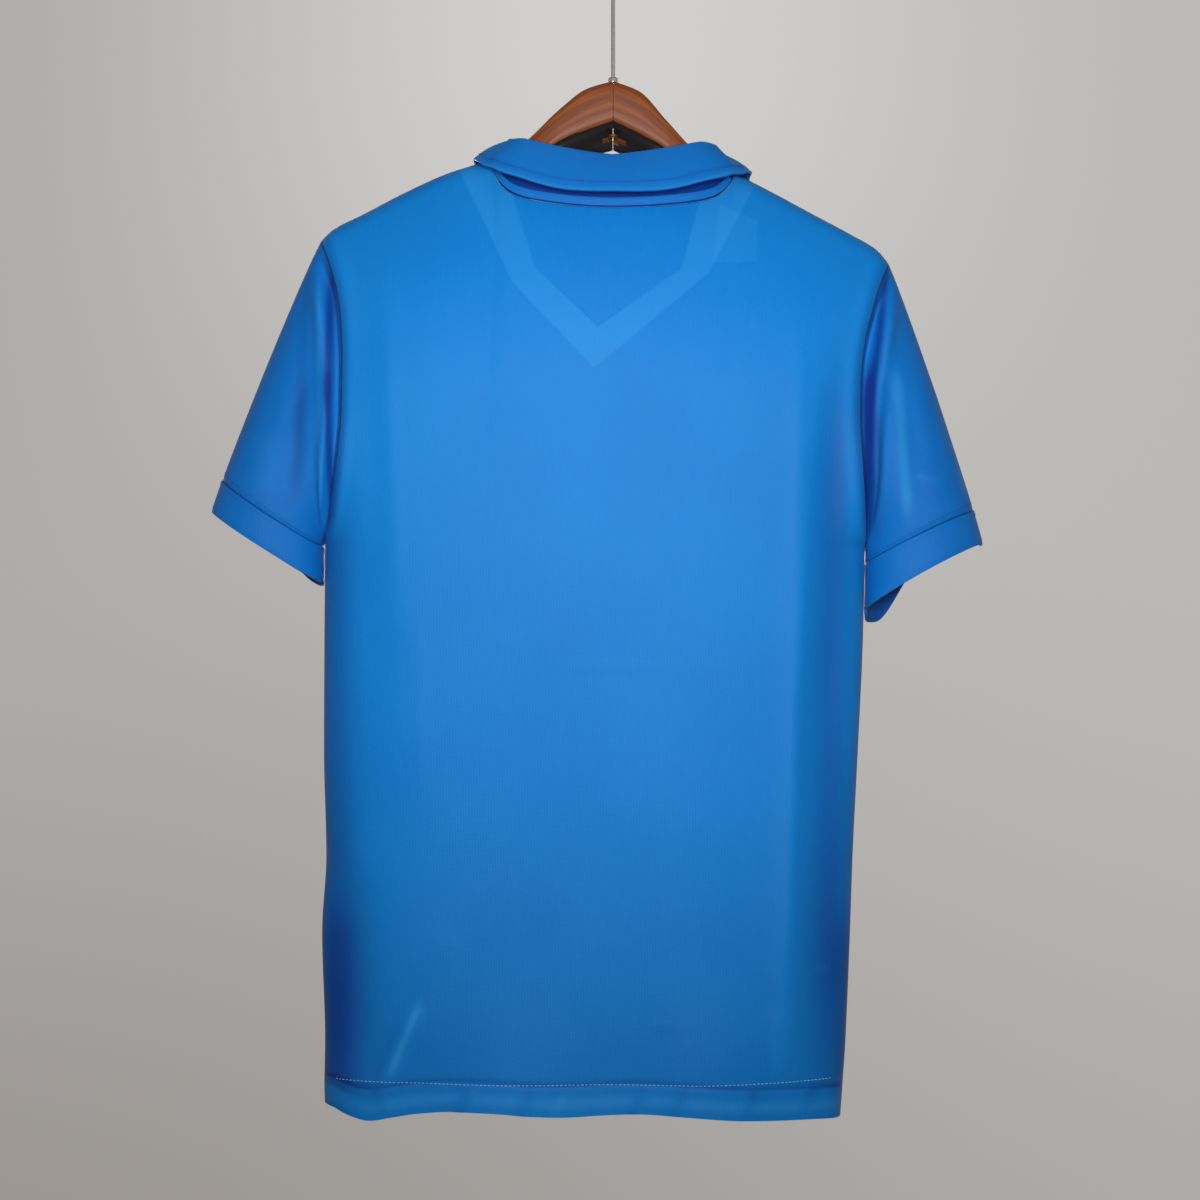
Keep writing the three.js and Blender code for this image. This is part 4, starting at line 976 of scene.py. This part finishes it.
# ---- hanger
# light, dark and streak colour the grain; the near-black under colour is painted shade for the
# hanger's underside
woodLook = {"light": srgb(150, 78, 26), "dark": srgb(114, 54, 20), "streak": srgb(84, 42, 24),
            "roughness": 0.5, "under": srgb(20, 9, 6), "underFrom": -0.6}
hangerSizes = {
    # across, left top, right top, left foot, right foot, half depth
    "arch": [(0, 785, 785, 751, 751, 20), (20, 779, 777, 744, 741, 20),
             (40, 764, 755.5, 736, 730, 19), (60, 745.5, 734.5, 722, 712, 15.5),
             (80, 728.8, 718.6, 706, 695, 12.5)],
    "reach": 0.78, "rootUnder": 4.8, "endUnder": 2.6, "rootTall": 24.0, "endTall": 15.0,
    "rootDepth": 11.5, "endDepth": 9.6, "undersideFall": 21.0, "fallFrom": 5.0,
    "fallWidth": 66.0, "archSquare": 5.0, "armSquare": 2.2, "sides": 72,
}
hookSizes = {"wire": 1.55, "bend": 22.0, "neckBend": 10.0, "neckAngle": 60.0, "endAngle": 200.0,
             "sides": 20}


# Wood: long grain on the piece's own map, pores, and a varnish coat.
def woodFinish(name, look):
    finish = Finish(name)
    u, v, _ = finish.split(finish.node("ShaderNodeUVMap", {"uv_map": "cloth"}))
    bend = finish.noise(finish.join(u * 6, v * 3), 1.0, 2.0)
    rings = finish.noise(finish.join(u * 210 + bend * 2.5, v * 9), 1.0, 4.0, 0.6)
    pores = finish.noise(finish.join(u * 1500, v * 55), 1.0, 2.0, 0.6)
    stops = [(0.28, look["streak"][:3]), (0.42, look["dark"][:3]), (0.62, look["light"][:3])]
    base = finish.node("ShaderNodeValToRGB", {"stops": stops}, {0: rings})
    pore = pores.between(0.62, 0.75)
    colour = finish.blend(pore * 0.55, base, look["streak"])
    return finish.surface({
        "Base Color": colour, "Roughness": pore * 0.15 + look["roughness"], "Coat Weight": 0.12,
        "Coat Roughness": 0.35, "Specular IOR Level": 0.25,
    }, rings * 0.4 - pore * 0.6, 0.00012)


# One half of the hanger: rounded sections from the hook to the end of the arm.
def armLoops(name):
    s = hangerSizes
    k, sign = (0, -1) if name == "left" else (1, 1)
    across = np.concatenate([[0.2], np.arange(2, 80.1, 2)])
    top, foot = curve(s["arch"], across, 1 + k), curve(s["arch"], across, 3 + k)
    halfDepth = curve(s["arch"], across, 5)
    t = np.linspace(0, 1, 56)
    x = mix(neckPoint[k], shoulderPoint[k], s["reach"] * t)
    end = np.where(t > 5 / 6, mix(0.3, 1, np.sqrt(1 - np.clip(t * 6 - 5, 0, 1) ** 2)), 1)
    line = shoulderLine(x) - mix(s["rootUnder"], s["endUnder"], np.minimum(1, 3 * t))
    tall = mix(s["rootTall"], s["endTall"], t)
    x = np.concatenate([sign * across, x])
    top = np.concatenate([top, line - tall * (1 - end) / 2])[:, None]
    foot = np.concatenate([foot, line - tall * (1 + end) / 2])[:, None]
    halfDepth = np.concatenate([halfDepth, mix(s["rootDepth"], s["endDepth"], t) * end])[:, None]
    angle = np.linspace(0, 2 * math.pi, s["sides"] + 1)[None, :-1]
    c, q = np.cos(angle), np.sin(angle)
    square = mix(s["archSquare"], s["armSquare"], ease((np.abs(x) - 45) / 35))[:, None]
    y = halfDepth * np.sign(c) * np.abs(c) ** (2 / square)
    up = np.sign(q) * np.abs(q) ** (2 / square)
    fall = s["undersideFall"] * ease(1 - np.abs(x) / s["fallWidth"])[:, None]
    front = np.clip((y - s["fallFrom"]) / (halfDepth - s["fallFrom"]), 0, 1)
    z = (top + foot) / 2 + up * (top - foot) / 2 - np.where(up < 0, -up * fall * front, 0)
    return np.stack([np.broadcast_to(x[:, None], z.shape), y, z], -1)


wood = woodFinish("hanger_varnished_wood", woodLook)
steel = plainFinish("hanger_steel", srgb(186, 188, 192), Metallic=1.0, Roughness=0.24)
brass = plainFinish("hanger_brass", srgb(128, 96, 44), Metallic=1.0, Roughness=0.6)
undersideShade = plainFinish("hanger_underside_painted_shade", woodLook["under"], Roughness=0.7)
arms = []
for name in ("left", "right"):
    arm = addPiece("wooden_arm_" + name, loft(armLoops(name)), wood, ["hanger_arm_" + name])
    arm.data.materials.append(undersideShade.material)  # the underside gets painted shade: a near-black, unvarnished finish
    normals = np.zeros(3 * len(arm.data.polygons), np.float32)
    arm.data.polygons.foreach_get("normal", normals)
    under = normals[2::3] < woodLook["underFrom"]
    arm.data.polygons.foreach_set("material_index", under.astype(np.int32))
    arms.append(arm)

underside = hangerSizes["arch"][0][3] - 3.8
nutSizes = {"radius": 4.4, "tall": 2.4}
ferruleSizes = {"radius": 3.7, "tall": 4.6}


# The wire's path: up through the wood, a short bend to the side and round the hook.
def hookLoops():
    bend, small = hookSizes["bend"], hookSizes["neckBend"]
    centre, angle = railHeight + hookSizes["wire"] - bend, math.radians(hookSizes["neckAngle"])
    leg = (bend - small) * (1 - math.cos(angle)) / math.sin(angle)
    foot = centre - (bend + small) * math.sin(angle) - leg * math.cos(angle)
    low = np.linspace(underside - nutSizes["tall"] - 2.2, foot, 24)
    a = angle * np.arange(1, 13) / 12
    b = np.linspace(-angle, math.radians(hookSizes["endAngle"]), 90)
    x = np.concatenate([low * 0, small * (1 - np.cos(a)), bend * np.cos(b)])
    z = np.concatenate([low, foot + small * np.sin(a), centre + bend * np.sin(b)])
    path = np.stack([x, z], -1)
    ahead = unit(np.gradient(path, axis=0))
    n = np.stack([ahead[:, 1], -ahead[:, 0]], -1)
    t = np.linspace(0, 2 * math.pi, hookSizes["sides"] + 1)[:-1]
    r = np.full(len(path), hookSizes["wire"])
    r[-1] *= 0.55
    ring = path[:, None] + n[:, None] * (r[:, None] * np.cos(t))[..., None]
    return np.stack([ring[..., 0], r[:, None] * np.sin(t), ring[..., 1]], -1)


# A ring on the wire: a rounded profile turned about the wire.
def ringLoops(radius, tall, bottom):
    w = np.linspace(-1, 1, 13)
    r = radius * (0.72 + 0.28 * (1 - np.abs(w) ** 3) ** (1 / 3))
    t = np.linspace(0, 2 * math.pi, 41)[:-1]
    return np.stack([r[:, None] * np.cos(t), r[:, None] * np.sin(t),
                     np.broadcast_to((bottom + tall * (w + 1) / 2)[:, None], (13, 40))], -1)


ferruleLoops = ringLoops(**ferruleSizes, bottom=hangerSizes["arch"][0][1] + 0.3)
nutLoops = ringLoops(**nutSizes, bottom=underside - 0.5 - nutSizes["tall"])
addPiece("hook_wire", loft(hookLoops()), steel, ["hanger_hook"])
addPiece("hook_ferrule", loft(ferruleLoops), steel, ["hanger_ferrule"])
addPiece("hook_nut", loft(nutLoops), brass, ["hanger_nut"])
print("hanger made")

# ---- the cloth's cuts: width and length in metres, flat area, how it is held and on what
sheets = [
    (panels["back_panel"], (0.447, 0.735), 0.300, "hung", arms, [hemStitches, neckStitches]),
    (panels["front_panel"], (0.447, 0.735), 0.293, "hung", arms, []),
    (sleevePieces["left"], (0.46, 0.20), 0.033, "hung", arms, [cuffStitches]),
    (sleevePieces["right"], (0.46, 0.20), 0.033, "hung", arms, []),
    (cuffPieces["left"], (0.24, 0.029), 0.0067, "hung", [sleevePieces["left"]], []),
    (cuffPieces["right"], (0.25, 0.033), 0.0076, "hung", [sleevePieces["right"]], []),
    (collarPiece, (0.44, 0.08), 0.0275, "folded", list(panels.values()), [collarStitches]),
    (bindingPiece, (0.2, 0.01), 0.0012, "laid", [collarPiece], []),
    (bandPiece, (0.3, 0.025), 0.0061, "laid", [panels["front_panel"]], [bandStitches]),
]
for piece, flat, area, held, carriers, riding in sheets:
    print("sheet", piece.name, round(sum(p.area for p in piece.data.polygons) / 2, 5))

# ---- studio
studio = {
    "floor": -2250.0, "radius": 5000.0, "curve": 1500.0, "height": 6400.0,
    # low, high and glow are painted light that the backdrop gives off
    "paper": srgb(60, 59, 58), "low": srgb(144, 139, 135), "high": srgb(174, 170, 168),
    "glow": srgb(211, 210, 208), "world": 0.08,
}
# name: place, aim, width and height in metres, power in watts, spread in degrees
lights = {
    "key_light": ((0.0, -1.3, -0.36), (0, 0, -0.38), (0.4, 0.4), 3.5, 84),
    "front_light": ((-0.2, 1.7, -0.2), (0, 0, -0.44), (0.8, 0.8), 9.0, 120),
    "side_light": ((2.4, -0.7, 0.2), (0, 0, -0.5), (1.2, 1.6), 0.9, 180),
    "left_light": ((-2.4, -0.5, 0.3), (0, 0, -0.5), (1.2, 1.6), 0.9, 180),
    "top_light": ((0, -0.5, 1.5), (0, 0, -0.4), (1.6, 1.6), 4.5, 180),
}


# The backdrop, turned about the vertical: a flat floor, a quarter round and a wall.
def stageForm():
    r, curveR = studio["radius"], studio["curve"]
    a = np.linspace(0, math.pi / 2, 24)
    radius = np.concatenate([[1.0, r * 0.3], r - curveR + curveR * np.sin(a), [r]])
    height = np.concatenate([[0, 0], curveR * (1 - np.cos(a)), [studio["height"]]])
    t = np.linspace(0, 2 * math.pi, 97)[:-1]
    height = np.broadcast_to((height + studio["floor"] + railHeight)[:, None], (len(radius), 96))
    points = np.stack([radius[:, None] * np.cos(t), radius[:, None] * np.sin(t), height], -1)
    faces = gridFaces(closed(np.arange(len(radius) * 96).reshape(-1, 96)))
    return points.reshape(-1, 3), faces


# The backdrop glows with painted light: darker low down, lighter towards +X, and a painted pool of
# light across its middle, brightest high up.
stageFinish = Finish("studio_paper")
stagePlace = stageFinish.split(stageFinish.node("ShaderNodeTexCoord", output="Object"))
stagePaintedLight = stageFinish.blend(stagePlace[2].between(-2.9, -0.4), studio["low"], studio["high"])
stagePaintedLight = stageFinish.blend(stagePlace[0].between(-2.0, 2.0) * 0.3, stagePaintedLight, studio["glow"])
stagePaintedPool = 1 - stagePlace[0].math("ABSOLUTE").between(0.0, 1.9)
stagePaintedPool = stagePaintedPool * stagePlace[2].between(-1.0, 1.1) * 0.9
stagePaintedLight = stageFinish.blend(stagePaintedPool, stagePaintedLight, studio["glow"])
stageFinish.surface({"Base Color": studio["paper"], "Roughness": 1.0, "Specular IOR Level": 0.0,
                     "Emission Color": stagePaintedLight, "Emission Strength": 1.0})
stagePoints, stageFaces = stageForm()
stageMesh = bpy.data.meshes.new("studio_backdrop")
stageMesh.from_pydata(((stagePoints - [0, 0, railHeight]) / 1000).tolist(), [], stageFaces.tolist())
stageMesh.polygons.foreach_set("use_smooth", np.ones(len(stageFaces), bool))
stageMesh.materials.append(stageFinish.material)
backdrop = bpy.data.objects.new("studio_backdrop", stageMesh)
bpy.context.scene.collection.objects.link(backdrop)
backdrop.visible_diffuse = False  # the paper is lit and glows with painted light, but throws no light on the cloth

for name, (place, aim, size, power, spread) in lights.items():
    lamp = bpy.data.lights.new(name, "AREA")
    lamp.shape, lamp.size, lamp.size_y = "RECTANGLE", *size
    lamp.energy, lamp.spread = power, math.radians(spread)
    made = bpy.data.objects.new(name, lamp)
    made.location = place
    made.rotation_euler = (Vector(aim) - Vector(place)).to_track_quat("-Z", "Y").to_euler()
    made.visible_camera = False
    bpy.context.scene.collection.objects.link(made)
world = bpy.data.worlds.new("studio_air")
world.use_nodes = True
air = world.node_tree.nodes["Background"].inputs
air["Color"].default_value, air["Strength"].default_value = (0.92, 0.95, 1.0, 1), studio["world"]
bpy.context.scene.world = world
bpy.context.scene.view_settings.view_transform = "Standard"

camera = bpy.data.cameras.new("photo_camera")
camera.sensor_width, camera.lens, camera.clip_end = 36.0, 36.0 * 1750 / 912, 50.0
eye = bpy.data.objects.new("photo_camera", camera)
eye.location, eye.rotation_euler = (-0.0099, -1.75, -0.523), (math.pi / 2, 0, 0)
bpy.context.scene.collection.objects.link(eye)
bpy.context.scene.camera = eye
print("studio made")
